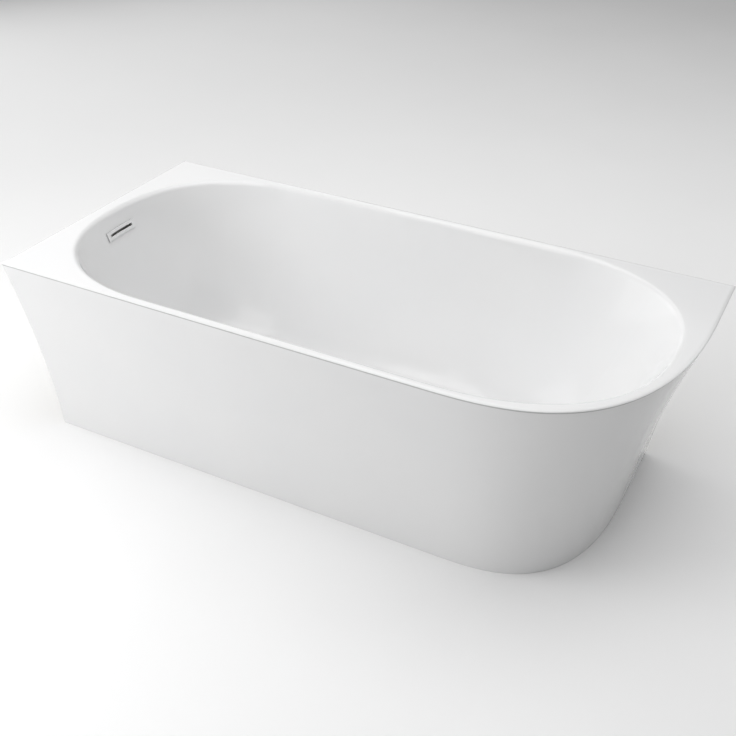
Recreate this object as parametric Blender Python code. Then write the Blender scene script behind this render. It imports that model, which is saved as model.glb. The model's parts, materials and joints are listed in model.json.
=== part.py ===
"""Back-to-wall corner bath, 1700 x 800 x 585 mm, as an assembly of separate pieces.

The bath stands with its straight back edge (+Y) and its straight left edge (-X) against two walls.
A flared skirt closes the front and runs round one big corner to the back wall. The frame is in
metres, +Z up, and its origin is the middle of the footprint, on the floor.
"""
import math

import bmesh
import bpy
from mathutils import Matrix, Vector

# Driving dimensions
LENGTH = 1.700
WIDTH = 0.800
HEIGHT = 0.585
GAP = 0.0003                     # air between two pieces that touch

# Rim and skirt, seen from above
X_LEFT, X_RIGHT = -LENGTH / 2, LENGTH / 2
Y_FRONT, Y_BACK = -WIDTH / 2, WIDTH / 2
RIM_CORNER = (0.338, 0.243)      # centre of the big front-right corner at the rim
RIM_POWER = 2.78                 # its superellipse power: 2 is an ellipse, more is squarer
TOE_CORNER = (0.344, 0.201)      # the same corner at the floor
TOE_POWER = 2.94
FRONT_TOE_IN = 0.1218            # how far the skirt's foot stands inside the rim at the front
RIGHT_TOE_IN = 0.1396            # and at the right end
SKIRT_WALL = 0.006
SHELL_WALL = 0.008
EDGE_ROUND = 0.003
LIP_BOTTOM = 0.555               # turned-down lips along the two walls
LIP_OUTSIDE, LIP_INSIDE = 0.001, 0.0065

# Basin opening and basin floor: half width, then centre, end and power of each rounded end
OPENING = (0.380, -0.423, -0.809, 2.28, 0.334, 0.796, 2.29)
FLOOR = (0.205, -0.370, -0.575, 2.10, 0.190, 0.430, 2.10)
LIP_ROUND = 0.010
FLOOR_Z = 0.150
FLOOR_FALL = 0.0065              # rise of the basin floor per metre away from the waste
WASTE = (-0.460, 0.0)
WASTE_HOLE_R = 0.0255
WASTE_FLAT_R = 0.045
WALL_STEPS = (0.10, 0.22, 0.36, 0.50, 0.64, 0.78, 0.90)

# Overflow in the left end wall
OVERFLOW_TURN = math.radians(181)    # direction of its middle, seen from the opening's left centre
OVERFLOW_Z = 0.528
COVER_WIDTH, COVER_HEIGHT, COVER_PLATE = 0.130, 0.026, 0.0030
COVER_STANDOFF = 0.0018
SLOT_WIDTH, SLOT_HEIGHT = 0.100, 0.007
WALL_HOLE = (0.106, 0.022)
CHAMBER_SIZE = (0.146, 0.038)
CHAMBER_DEPTH = 0.022
PEG_DROP = 0.0082                # the cover's pegs stand below its slot

# Under-frame and feet
BOARD_TOP = FLOOR_Z - SHELL_WALL - GAP
BOARD_THICK = 0.015
BOARD_X, BOARD_HALF_Y = (-0.385, 0.385), 0.200
RAIL_X = (-0.300, 0.340)
RAIL_WIDTH, RAIL_HEIGHT, RAIL_WALL, RAIL_HALF_Y = 0.040, 0.025, 0.0025, 0.270
RAIL_TOP = BOARD_TOP - BOARD_THICK - GAP
FOOT_Y = 0.218
STUD_R, STUD_CLEAR_R = 0.0060, 0.0068


def clear_scene():
    for thing in list(bpy.data.objects):
        bpy.data.objects.remove(thing)


def make_material(name, colour, roughness, metallic=0.0):
    material = bpy.data.materials.new(name)
    material.use_nodes = True
    shader = material.node_tree.nodes["Principled BSDF"]
    shader.inputs["Base Color"].default_value = (*colour, 1.0)
    shader.inputs["Roughness"].default_value = roughness
    shader.inputs["Metallic"].default_value = metallic
    material.diffuse_color = (*colour, 1.0)
    return material


def make_object(name, mesh_data, material, origin=(0, 0, 0), smooth=40.0):
    """Turns a bmesh in world coordinates into an object whose origin is at the given point."""
    bmesh.ops.recalc_face_normals(mesh_data, faces=mesh_data.faces)
    bmesh.ops.translate(mesh_data, verts=mesh_data.verts, vec=-Vector(origin))
    mesh = bpy.data.meshes.new(name)
    mesh_data.to_mesh(mesh)
    mesh_data.free()
    mesh.materials.append(material)
    mesh.shade_smooth()
    mesh.set_sharp_from_angle(angle=math.radians(smooth))
    thing = bpy.data.objects.new(name, mesh)
    thing.location = origin
    bpy.context.scene.collection.objects.link(thing)
    return thing


def cut_or_join(target, tool, operation):
    """Adds a Boolean and keeps its tool out of the model."""
    tool.hide_render = True
    tool.display_type = "WIRE"
    modifier = target.modifiers.new(operation.lower(), "BOOLEAN")
    modifier.operation = operation
    modifier.solver = "EXACT"
    modifier.object = tool


# Solids that the pieces are made from

def loft(loops, closed_stack=True):
    """Skins closed loops of points. A closed stack joins the last loop to the first."""
    body = bmesh.new()
    rings = [[body.verts.new(point) for point in loop] for loop in loops]
    count = len(rings[0])
    pairs = list(zip(rings, rings[1:]))
    if closed_stack:
        pairs.append((rings[-1], rings[0]))
    for ring, following in pairs:
        for i in range(count):
            j = (i + 1) % count
            body.faces.new((ring[i], ring[j], following[j], following[i]))
    if not closed_stack:
        for ring in (rings[0], rings[-1]):
            body.faces.new(ring)
    return body


def box_body(low, high):
    body = bmesh.new()
    bmesh.ops.create_cube(body, size=1.0)
    low, high = Vector(low), Vector(high)
    for vert in body.verts:
        vert.co = (low + high) / 2 + Vector(a * b for a, b in zip(vert.co, high - low))
    return body


def prism_body(outline, low_z, high_z):
    """Upright prism on a plan outline."""
    return loft([[(x, y, z) for x, y in outline] for z in (low_z, high_z)], closed_stack=False)


def turned_body(profile, segments, place=None):
    """Turns a closed outline of (radius, height) points about Z. Points on the axis are poles."""
    body = bmesh.new()
    rings = []
    for radius, height in profile:
        if radius < 1e-6:
            rings.append([body.verts.new((0, 0, height))] * segments)
            continue
        ring = []
        for i in range(segments):
            turn = math.tau * i / segments
            ring.append(body.verts.new((radius * math.cos(turn), radius * math.sin(turn), height)))
        rings.append(ring)
    for ring, following in zip(rings, rings[1:] + rings[:1]):
        for i in range(segments):
            j = (i + 1) % segments
            corners = list(dict.fromkeys((ring[i], ring[j], following[j], following[i])))
            if len(corners) > 2:
                body.faces.new(corners)
    if place is not None:
        bmesh.ops.transform(body, matrix=place, verts=body.verts)
    return body


def ring_body(inner, outer, low_z, high_z, segments=24, place=None):
    profile = [(inner, low_z), (outer, low_z), (outer, high_z), (inner, high_z)]
    return turned_body(profile, segments, place)


def rod_body(radius, low_z, high_z, segments=16, place=None):
    profile = [(0, low_z), (radius, low_z), (radius, high_z), (0, high_z)]
    return turned_body(profile, segments, place)


def along(point, direction):
    """Matrix that carries +Z to a direction and the origin to a point."""
    return Matrix.Translation(point) @ Vector((0, 0, 1)).rotation_difference(direction).to_matrix().to_4x4()


# Plan outlines

def in_oval(x, y, oval, grow=0.0):
    half, left, left_end, left_power, right, right_end, right_power = oval
    half += grow
    if x < left:
        reach, power, past = left - left_end + grow, left_power, left - x
    elif x > right:
        reach, power, past = right_end - right + grow, right_power, x - right
    else:
        return abs(y) <= half
    return (past / reach) ** power + (abs(y) / half) ** power <= 1.0


def in_rim(x, y, inset=0.0):
    if abs(x) > X_RIGHT - inset or abs(y) > Y_BACK - inset:
        return False
    past_x, past_y = x - RIM_CORNER[0], RIM_CORNER[1] - y
    if past_x <= 0 or past_y <= 0:
        return True
    reach_x = X_RIGHT - RIM_CORNER[0] - inset
    reach_y = RIM_CORNER[1] - Y_FRONT - inset
    return (past_x / reach_x) ** RIM_POWER + (past_y / reach_y) ** RIM_POWER <= 1.0


def reach_outline(start, turn, inside):
    """Point where a ray from start leaves an outline, by halving the interval."""
    near, far = 0.0, 1.2
    for _ in range(40):
        middle = (near + far) / 2
        if inside(start[0] + middle * math.cos(turn), start[1] + middle * math.sin(turn)):
            near = middle
        else:
            far = middle
    return Vector((start[0] + near * math.cos(turn), start[1] + near * math.sin(turn)))


def spread(first, last, count):
    """Evenly spaced values that leave out the last one."""
    return [first + (last - first) * i / count for i in range(count)]


def basin_stations():
    """Ray starts and directions round the basin, one of them through each sharp rim corner."""
    left, right = OPENING[1], OPENING[4]
    left_corner = math.atan2(Y_BACK, X_LEFT - left)
    right_corner = math.atan2(Y_BACK, X_RIGHT - right)
    quarter = math.pi / 2
    stations = [(right, turn) for turn in spread(-quarter, 0, 11)]
    stations += [(right, turn) for turn in spread(0, right_corner, 4)]
    stations += [(right, turn) for turn in spread(right_corner, quarter, 6)]
    stations += [(x, quarter) for x in spread(right, left, 4)]
    stations += [(left, turn) for turn in spread(quarter, left_corner, 5)]
    stations += [(left, turn) for turn in spread(left_corner, math.pi, 5)]
    stations += [(left, turn) for turn in spread(math.pi, math.tau - left_corner, 5)]
    stations += [(left, turn) for turn in spread(math.tau - left_corner, 3 * quarter, 5)]
    stations += [(x, -quarter) for x in spread(left, right, 4)]
    return stations


# Basin surface

def wall_curve(t, drop):
    """Sloping wall in its own plane: share of the way in, and height below the lip."""
    inward = 3 * (1 - t) ** 2 * t * 0.28 + 3 * (1 - t) * t ** 2 * 0.42 + t ** 3
    down = 3 * (1 - t) ** 2 * t * 0.42 + 3 * (1 - t) * t ** 2 * 1.0 + t ** 3
    return inward, down * drop


def basin_profile(start_x, turn):
    """Points from the waste hole up the wall and over the lip, and the direction out of the basin."""
    start = (start_x, 0.0)
    lip = reach_outline(start, turn, lambda x, y: in_oval(x, y, OPENING, 0.4 * LIP_ROUND))
    wall = reach_outline(start, turn, lambda x, y: in_oval(x, y, OPENING, -0.6 * LIP_ROUND))
    foot = reach_outline(start, turn, lambda x, y: in_oval(x, y, FLOOR))
    out = (wall - foot).normalized()
    waste = Vector(WASTE)
    spoke = (foot - waste).normalized()
    foot_z = FLOOR_Z + FLOOR_FALL * ((foot - waste).length - WASTE_FLAT_R)
    points = [(*(waste + spoke * WASTE_HOLE_R), FLOOR_Z), (*(waste + spoke * WASTE_FLAT_R), FLOOR_Z)]
    wall_top = HEIGHT - LIP_ROUND
    for t in (1.0,) + WALL_STEPS[::-1] + (0.0,):
        share, down = wall_curve(t, wall_top - foot_z)
        points.append((*(wall.lerp(foot, share)), wall_top - down))
    for turn_in in (30, 60):
        angle = math.radians(turn_in)
        across = 1.0 - math.cos(angle)
        points.append((*(wall.lerp(lip, across)), wall_top + LIP_ROUND * math.sin(angle)))
    points.append((*lip, HEIGHT))
    return [Vector(point) for point in points], Vector((*out, 0.0))


def underside(points, out):
    """The same profile moved out of the basin by the shell's thickness."""
    moved = []
    for i, point in enumerate(points):
        before, after = points[max(i - 1, 0)], points[min(i + 1, len(points) - 1)]
        run = after - before
        normal = Vector((run.dot(out), run.z)).normalized()
        moved.append(point + SHELL_WALL * (normal.y * out - normal.x * Vector((0, 0, 1))))
    return moved


def make_basin_shell(material):
    loops = []
    for start_x, turn in basin_stations():
        start = (start_x, 0.0)
        points, out = basin_profile(start_x, turn)
        rim = reach_outline(start, turn, in_rim)
        rim_top = reach_outline(start, turn, lambda x, y: in_rim(x, y, EDGE_ROUND))
        under = underside(points, out)
        deck_under = HEIGHT - SHELL_WALL
        loop = points + [Vector((*rim_top, HEIGHT)), Vector((*rim, HEIGHT - EDGE_ROUND))]
        loop.append(Vector((*rim, deck_under)))
        loop.append(Vector((*(points[-1].xy), deck_under)))
        loop += under[-3:2:-1]
        for point in (points[2], points[0]):
            loop.append(Vector((point.x, point.y, FLOOR_Z - SHELL_WALL)))
        loops.append(loop)
    shell = make_object("basin_shell", loft(loops), material, smooth=35.0)
    skew = 0.0005                # keeps the two lips' faces out of one plane
    back_lip = box_body((X_LEFT + LIP_OUTSIDE, Y_BACK - LIP_INSIDE + skew, LIP_BOTTOM),
                        (0.832, Y_BACK - LIP_OUTSIDE, 0.5815))
    left_lip = box_body((X_LEFT + LIP_OUTSIDE + skew, -0.3835, LIP_BOTTOM + skew),
                        (X_LEFT + LIP_INSIDE, Y_BACK - LIP_OUTSIDE - skew, 0.5810))
    for name, body in (("back_lip_tool", back_lip), ("left_lip_tool", left_lip)):
        cut_or_join(shell, make_object(name, body, material), "UNION")
    slot = curved_plate(*WALL_HOLE, -0.012, 0.006)
    cut_or_join(shell, make_object("wall_slot_tool", slot, material), "DIFFERENCE")
    return shell


# Overflow: pieces that follow the curve of the end wall

def wall_frame(turn, height):
    """Point on the basin's end wall at a direction and height, and the wall's normal there."""
    def surface(angle, z):
        points, _ = basin_profile(OPENING[1], angle)
        wall = points[2:-3]
        for low, high in zip(wall, wall[1:]):
            if low.z <= z <= high.z:
                return low.lerp(high, (z - low.z) / (high.z - low.z))
        raise ValueError("height is off the wall")
    middle = surface(turn, height)
    step = 0.004
    side = surface(turn + step, height) - surface(turn - step, height)
    up = surface(turn, height + step) - surface(turn, height - step)
    return middle, side.normalized(), up.normalized()


def overflow_frame(along_wall):
    """Frame on the end wall at a distance along it from the overflow's middle."""
    radius = OPENING[1] - OPENING[2]
    point, side, up = wall_frame(OVERFLOW_TURN - along_wall / radius, OVERFLOW_Z)
    return point, up, up.cross(side).normalized()


def curved_plate(width, height, low, high, columns=6, hole=None):
    """Plate that follows the end wall, from one distance off its surface to another.

    A hole is a width and a height; it leaves a window in the middle of the plate.
    """
    xs = [width * (i / columns - 0.5) for i in range(columns + 1)]
    zs = [-height / 2, height / 2]
    if hole:
        xs = [-width / 2] + [hole[0] * (i / columns - 0.5) for i in range(columns + 1)] + [width / 2]
        zs = [-height / 2, -hole[1] / 2, hole[1] / 2, height / 2]
    body = bmesh.new()
    grids = []
    for off in (low, high):
        grid = []
        for x in xs:
            point, up, normal = overflow_frame(x)
            if normal.x < 0:
                normal = -normal
            grid.append([body.verts.new(point + up * z + normal * off) for z in zs])
        grids.append(grid)
    rows, last = len(zs) - 1, len(xs) - 1

    def solid(i, j):
        if not (0 <= i < last and 0 <= j < rows):
            return False
        return not (hole and j == 1 and 0 < i < last - 1)

    near, far = grids
    for i in range(last):
        for j in range(rows):
            if not solid(i, j):
                continue
            for grid in grids:
                body.faces.new((grid[i][j], grid[i + 1][j], grid[i + 1][j + 1], grid[i][j + 1]))
            sides = (((i, j), (i + 1, j), (i, j - 1)), ((i, j + 1), (i + 1, j + 1), (i, j + 1)),
                     ((i, j), (i, j + 1), (i - 1, j)), ((i + 1, j), (i + 1, j + 1), (i + 1, j)))
            for (a, b), (c, d), neighbour in sides:
                if not solid(*neighbour):
                    body.faces.new((near[a][b], near[c][d], far[c][d], far[a][b]))
    return body


def make_overflow(white, rubber, plastic):
    plate = (COVER_STANDOFF, COVER_STANDOFF + COVER_PLATE)
    cover_body = curved_plate(COVER_WIDTH, COVER_HEIGHT, *plate, hole=(SLOT_WIDTH, SLOT_HEIGHT))
    cover = make_object("overflow_cover", cover_body, white)
    for side in (-1, 1):
        point, up, normal = overflow_frame(side * (SLOT_WIDTH / 2 - 0.0035))
        peg_foot = point - normal * 0.016 - up * PEG_DROP
        peg = rod_body(0.0018, 0, 0.0195, 8, along(peg_foot, normal))
        cut_or_join(cover, make_object(f"cover_peg_tool_{side + 2}", peg, white), "UNION")
    behind = -SHELL_WALL - 4 * GAP    # the shell is faceted, so its curve needs a wider gap
    gasket_body = curved_plate(*CHAMBER_SIZE, behind - 0.0025, behind, hole=WALL_HOLE)
    make_object("overflow_gasket", gasket_body, rubber)
    face = behind - 0.0025 - GAP
    chamber_body = curved_plate(*CHAMBER_SIZE, face - CHAMBER_DEPTH, face)
    chamber = make_object("overflow_chamber", chamber_body, plastic)
    hollow_body = curved_plate(*WALL_HOLE, face - CHAMBER_DEPTH + 0.003, face + 0.004)
    hollow = make_object("chamber_hollow_tool", hollow_body, plastic)
    point, up, normal = overflow_frame(0.0)
    spigot_top = point + normal * (face - 0.011) - up * 0.012
    spigot = rod_body(0.0090, 0, 0.040, 16, along(spigot_top, Vector((0, 0, -1))))
    bore = rod_body(0.0070, -0.004, 0.044, 16, along(spigot_top, Vector((0, 0, -1))))
    cut_or_join(chamber, make_object("spigot_tool", spigot, plastic), "UNION")
    cut_or_join(chamber, hollow, "DIFFERENCE")
    cut_or_join(chamber, make_object("spigot_bore_tool", bore, plastic), "DIFFERENCE")
    return spigot_top + Vector((0, 0, -0.040))


# Skirt

def flare(z):
    """Share of the toe-in that the skirt has gained at a height: concave, then upright at the rim."""
    t = z / HEIGHT
    rise = 1.0086 * (0.527 * t + 0.473 * t * t)
    soft = 0.06
    blend = min(max(0.5 + 0.5 * (1 - rise) / soft, 0.0), 1.0)
    return (1 - blend) + rise * blend - soft * blend * (1 - blend)


def skirt_point(station, z):
    """Point on the skirt's outer face. Stations 0 to 1 run along the front, 1 to 2 round the corner
    and 2 to 3 along the right end."""
    share = flare(z)
    centre_x = TOE_CORNER[0] + (RIM_CORNER[0] - TOE_CORNER[0]) * share
    centre_y = TOE_CORNER[1] + (RIM_CORNER[1] - TOE_CORNER[1]) * share
    power = TOE_POWER + (RIM_POWER - TOE_POWER) * share
    right = X_RIGHT - RIGHT_TOE_IN * (1 - share)
    front = Y_FRONT + FRONT_TOE_IN * (1 - share)
    if station <= 1:
        return Vector((X_LEFT + (centre_x - X_LEFT) * station, front, z))
    if station >= 2:
        return Vector((right, centre_y + (Y_BACK - centre_y) * (station - 2), z))
    turn = (station - 1) * math.pi / 2
    x = centre_x + (right - centre_x) * math.sin(turn) ** (2 / power)
    y = centre_y - (centre_y - front) * math.cos(turn) ** (2 / power)
    return Vector((x, y, z))


def skirt_strip(stations, heights, outer_inset, inner_inset):
    """Upright wall between two distances inside the skirt's outer face."""
    body = bmesh.new()
    loops = []
    for station in stations:
        faces = []
        for inset in (outer_inset, inner_inset):
            column = []
            for z in heights:
                step = 0.01
                run = skirt_point(min(station + step, 3), z) - skirt_point(max(station - step, 0), z)
                inward = Vector((-run.y, run.x, 0)).normalized()
                column.append(skirt_point(station, z) + inward * inset)
            faces.append(column)
        loops.append([body.verts.new(point) for point in faces[0] + faces[1][::-1]])
    count = len(loops[0])
    for loop, following in zip(loops, loops[1:]):
        for i in range(count):
            j = (i + 1) % count
            body.faces.new((loop[i], loop[j], following[j], following[i]))
    for loop in (loops[0], loops[-1]):
        for i in range(len(heights) - 1):
            body.faces.new((loop[i], loop[i + 1], loop[-2 - i], loop[-1 - i]))
    return body


def corner_stations(count):
    """Stations round the corner, closer together where a superellipse starts and ends."""
    return [1 + 0.5 * (1 - math.cos(math.pi * i / count)) for i in range(count + 1)]


def make_skirt(white, timber):
    heights = [0.0, 0.07, 0.14, 0.22, 0.30, 0.38, 0.46, 0.52, 0.55, HEIGHT - SHELL_WALL - GAP]
    stations = [0.0, 0.4, 0.8] + corner_stations(18) + [2.5, 3.0]
    make_object("apron_shell", skirt_strip(stations, heights, 0.0, SKIRT_WALL), white, smooth=35.0)
    inner = SKIRT_WALL + GAP
    batten_stations = [0.02, 0.5] + corner_stations(12) + [2.5, 2.96]
    batten = skirt_strip(batten_stations, [0.004, 0.030], inner + 0.0035, inner + 0.0215)
    return make_object("apron_floor_batten", batten, timber)


# Under-frame

def make_board(timber):
    x_low, x_high = BOARD_X
    reach = 0.09
    outline = []
    for i in range(9):
        turn = -math.pi / 2 + math.pi * i / 8
        outline.append((x_high - reach + reach * math.cos(turn), BOARD_HALF_Y * math.sin(turn)))
    outline += [(x_low, BOARD_HALF_Y), (x_low, -BOARD_HALF_Y)]
    return make_object("base_board", prism_body(outline, BOARD_TOP - BOARD_THICK, BOARD_TOP), timber)


def make_rail(name, x, steel, board, batten):
    """Channel, open downwards, under the board, with two welded nuts, two screws up into the board and
    a tab down to the skirt's batten."""
    half, top, bottom = RAIL_WIDTH / 2, RAIL_TOP, RAIL_TOP - RAIL_HEIGHT
    web = top - RAIL_WALL
    section = [(-half, bottom), (-half, top), (half, top), (half, bottom), (half - RAIL_WALL, bottom),
               (half - RAIL_WALL, web), (RAIL_WALL - half, web), (RAIL_WALL - half, bottom)]
    ends = [[(x + a, y, z) for a, z in section] for y in (-RAIL_HALF_Y, RAIL_HALF_Y)]
    rail = make_object(f"{name}_rail", loft(ends, closed_stack=False), steel)
    batten_face = Y_FRONT + FRONT_TOE_IN + SKIRT_WALL + GAP + 0.0215
    tab = box_body((x - 0.014, batten_face + 0.0036, 0.012), (x + 0.014, batten_face + 0.0064, web + 0.001))
    cut_or_join(rail, make_object(f"{name}_tab_tool", tab, steel), "UNION")
    for side, y in (("front", -FOOT_Y), ("back", FOOT_Y)):
        nut = rod_body(0.0110, web - 0.009, web + 0.001, 6, Matrix.Translation((x, y, 0)))
        cut_or_join(rail, make_object(f"{name}_{side}_weld_nut_tool", nut, steel), "UNION")
    for side, y in (("front", -FOOT_Y), ("back", FOOT_Y)):
        hole = rod_body(STUD_CLEAR_R, bottom - 0.01, top + 0.01, 16, Matrix.Translation((x, y, 0)))
        cut_or_join(rail, make_object(f"{name}_{side}_hole_tool", hole, steel), "DIFFERENCE")
    for side, y in (("front", -0.13), ("back", 0.13)):
        place = Matrix.Translation((x, y, 0))
        hole = rod_body(0.0028, web - 0.004, top + 0.010, 10, place)
        drill = make_object(f"{name}_{side}_screw_hole_tool", hole, steel)
        cut_or_join(rail, drill, "DIFFERENCE")
        cut_or_join(board, drill, "DIFFERENCE")
        head = web - GAP
        profile = [(0, head - 0.003), (0.0040, head - 0.003), (0.0050, head), (0.0023, head),
                   (0.0023, top + 0.009), (0, top + 0.0095)]
        make_object(f"{name}_{side}_board_screw", turned_body(profile, 10, place), steel)
    place = along((x, batten_face + 0.0064 + GAP, 0.020), Vector((0, -1, 0)))
    hole = make_object(f"{name}_batten_hole_tool", rod_body(0.0028, -0.01, 0.0162, 10, place), steel)
    cut_or_join(rail, hole, "DIFFERENCE")
    cut_or_join(batten, hole, "DIFFERENCE")
    profile = [(0, -0.003), (0.0040, -0.003), (0.0050, 0), (0.0023, 0), (0.0023, 0.0150), (0, 0.0155)]
    make_object(f"{name}_batten_screw", turned_body(profile, 10, place), steel)


def make_foot(name, x, y, steel, rubber):
    """Screw jack: a pad on the floor, a stud that turns in it and in the rail's nut, and a lock nut."""
    place = Matrix.Translation((x, y, 0))
    origin = (x, y, 0)
    socket = 0.0066
    pad = [(0, 0), (0.0235, 0), (0.0250, 0.0015), (0.0250, 0.0045), (0.0130, 0.0090),
           (0.0130, 0.0150), (socket, 0.0150), (socket, 0.0050), (0, 0.0050)]
    make_object(f"{name}_foot_pad", turned_body(pad, 24, place), rubber, origin)
    top = RAIL_TOP + 0.0055
    stud = [(0, 0.0053), (0.0050, 0.0053), (STUD_R, 0.0063), (STUD_R, 0.0153), (0.0095, 0.0153),
            (0.0095, 0.0213), (STUD_R, 0.0213), (STUD_R, top - 0.001), (0.0050, top), (0, top)]
    make_object(f"{name}_foot_stud", turned_body(stud, 12, place), steel, origin)
    nut_top = RAIL_TOP - RAIL_WALL - 0.009 - GAP
    nut = make_object(f"{name}_lock_nut", rod_body(0.0110, nut_top - 0.006, nut_top, 6, place), steel)
    hole = rod_body(STUD_CLEAR_R, nut_top - 0.02, nut_top + 0.02, 16, place)
    cut_or_join(nut, make_object(f"{name}_lock_nut_hole_tool", hole, steel), "DIFFERENCE")


# Stiffening pads under the rim's wide corners, and brackets that hold the rim to the walls

def make_rim_pads(timber):
    top = HEIGHT - SHELL_WALL - GAP
    low = top - 0.018
    leg = 0.190
    corners = {"back_left": (-0.8430, 0.3937, 1, -1), "front_left": (-0.8430, -0.3855, 1, 1),
               "back_right": (0.8340, 0.3937, -1, -1)}
    for name, (x, y, to_x, to_y) in corners.items():
        outline = [(x, y), (x + to_x * leg, y), (x, y + to_y * leg)]
        make_object(f"{name}_rim_pad", prism_body(outline, low, top), timber)


def make_wall_bracket(name, steel, place):
    """Pressed hook: a plate on the wall, a shelf under the rim's lip and a tongue up behind it. place
    turns a distance along the wall, a distance from the wall and a height into a point."""
    plate, half = 0.002, 0.030
    shelf, tongue, low, high = LIP_BOTTOM - GAP, LIP_INSIDE + GAP, 0.470, 0.558
    section = [(0.0, low), (0.0, shelf), (plate, shelf), (tongue, shelf), (tongue, high),
               (tongue + plate, high), (tongue + plate, shelf - plate), (plate, shelf - plate),
               (plate, low)]
    ends = [[place(run, off, z) for off, z in section] for run in (-half, half)]
    bracket = make_object(name, loft(ends, closed_stack=False), steel)
    screw_z = 0.500
    middle = Vector(place(0, 0, screw_z))
    out = middle - Vector(place(0, 1, screw_z))
    hole = rod_body(0.0035, -0.01, 0.01, 12, along(middle, out))
    cut_or_join(bracket, make_object(f"{name}_hole_tool", hole, steel), "DIFFERENCE")


def make_wall_brackets(steel):
    for name, x in (("back_left", -0.700), ("back_right", 0.690)):
        make_wall_bracket(f"{name}_wall_bracket", steel, lambda run, off, z, x=x: (x + run, Y_BACK - off, z))
    y = 0.280
    make_wall_bracket("left_wall_bracket", steel, lambda run, off, z: (X_LEFT + off, y + run, z))


# Waste, plug and trap

def make_waste(chrome, brass, rubber, plastic):
    place = Matrix.Translation((*WASTE, 0))
    origin = (*WASTE, FLOOR_Z)
    seat = FLOOR_Z + 0.0013
    flange = [(0.0350, seat), (0.0350, seat + 0.0014), (0.0335, seat + 0.0028), (0.0300, seat + 0.0028),
              (0.0210, seat - 0.0040), (0.0210, 0.1060), (0.0240, 0.1060), (0.0240, seat)]
    make_object("waste_flange", turned_body(flange, 36, place), chrome, origin)
    make_object("waste_seal", ring_body(0.0262, 0.0330, FLOOR_Z + GAP, seat - GAP, 32, place), rubber)
    under = FLOOR_Z - SHELL_WALL
    gasket = ring_body(0.0262, 0.0360, under - GAP - 0.003, under - GAP, 32, place)
    make_object("waste_gasket", gasket, rubber)
    cap_low = seat + 0.0028 + GAP
    cap = [(0, cap_low), (0.0295, cap_low), (0.0305, cap_low + 0.0012), (0.0290, cap_low + 0.0030),
           (0.0200, cap_low + 0.0046), (0.0100, cap_low + 0.0054), (0, cap_low + 0.0056)]
    make_object("plug_cap", turned_body(cap, 32, place), chrome, origin)
    stem = [(0, cap_low - GAP), (0.0050, cap_low - GAP), (0.0050, 0.1300), (0, 0.1300)]
    make_object("plug_stem", turned_body(stem, 16, place), brass, origin)
    cartridge = [(0.0056, 0.1120), (0.0090, 0.1120), (0.0090, 0.1400), (0.0056, 0.1400)]
    holder = make_object("plug_cartridge", turned_body(cartridge, 16, place), plastic, origin)
    for arm in range(3):
        turn = Matrix.Rotation(math.tau * arm / 3, 4, "Z")
        bar = box_body((0.0082, -0.0012, 0.118), (0.0205, 0.0012, 0.128))
        bmesh.ops.transform(bar, matrix=place @ turn, verts=bar.verts)
        cut_or_join(holder, make_object(f"cartridge_arm_tool_{arm}", bar, plastic), "UNION")

    top = under - 2 * GAP - 0.003
    body = [(0.0246, top), (0.0380, top), (0.0380, top - 0.004), (0.0300, top - 0.006),
            (0.0300, 0.1010), (0.0235, 0.0970), (0.0235, 0.0840), (0.0200, 0.0840),
            (0.0200, 0.0960), (0.0246, 0.1000)]
    waste_body = make_object("waste_body", turned_body(body, 32, place), plastic)
    port = (WASTE[0] - 0.020, 0, 0.1180)
    port_rod = rod_body(0.0090, 0.0055, 0.045, 16, along(port, Vector((-1, 0, 0))))
    cut_or_join(waste_body, make_object("port_tool", port_rod, plastic), "UNION")
    bore = rod_body(0.0070, 0.0, 0.050, 16, along(port, Vector((-1, 0, 0))))
    cut_or_join(waste_body, make_object("port_bore_tool", bore, plastic), "DIFFERENCE")
    return Vector((port[0] - 0.045, 0, port[2]))


def make_trap(plastic, grey):
    place = Matrix.Translation((*WASTE, 0))
    nut = [(0.0239, 0.0720), (0.0310, 0.0720), (0.0320, 0.0740), (0.0320, 0.0900), (0.0310, 0.0920),
           (0.0239, 0.0920)]
    make_object("trap_inlet_nut", turned_body(nut, 24, place), plastic)
    shell = [(0.0235, 0.0837), (0.0235, 0.0715), (0.0400, 0.0680), (0.0400, 0.0310), (0.0370, 0.0310),
             (0.0370, 0.0655), (0.0195, 0.0680), (0.0195, 0.0200), (0.0165, 0.0200), (0.0165, 0.0837)]
    body = make_object("trap_body", turned_body(shell, 24, place), plastic)
    outlet = along((WASTE[0], 0, 0.0490), Vector((0, 1, 0)))
    spigot = make_object("outlet_tool", rod_body(0.0155, 0.0340, 0.0620, 20, outlet), plastic)
    cut_or_join(body, spigot, "UNION")
    bore = make_object("outlet_bore_tool", rod_body(0.0130, 0.0260, 0.0700, 20, outlet), plastic)
    cut_or_join(body, bore, "DIFFERENCE")
    cup = [(0, 0.0080), (0.0360, 0.0080), (0.0400, 0.0120), (0.0400, 0.0307), (0.0370, 0.0307),
           (0.0370, 0.0130), (0.0340, 0.0105), (0, 0.0105)]
    make_object("trap_cup", turned_body(cup, 24, place), grey)
    nut = [(0.0159, 0.0500), (0.0215, 0.0500), (0.0225, 0.0520), (0.0225, 0.0700), (0.0215, 0.0720),
           (0.0159, 0.0720)]
    make_object("trap_outlet_nut", turned_body(nut, 24, outlet), plastic)
    pipe = ring_body(0.0130, 0.0155, 0.0623, 0.3700, 20, outlet)
    make_object("outlet_pipe", pipe, grey)


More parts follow.
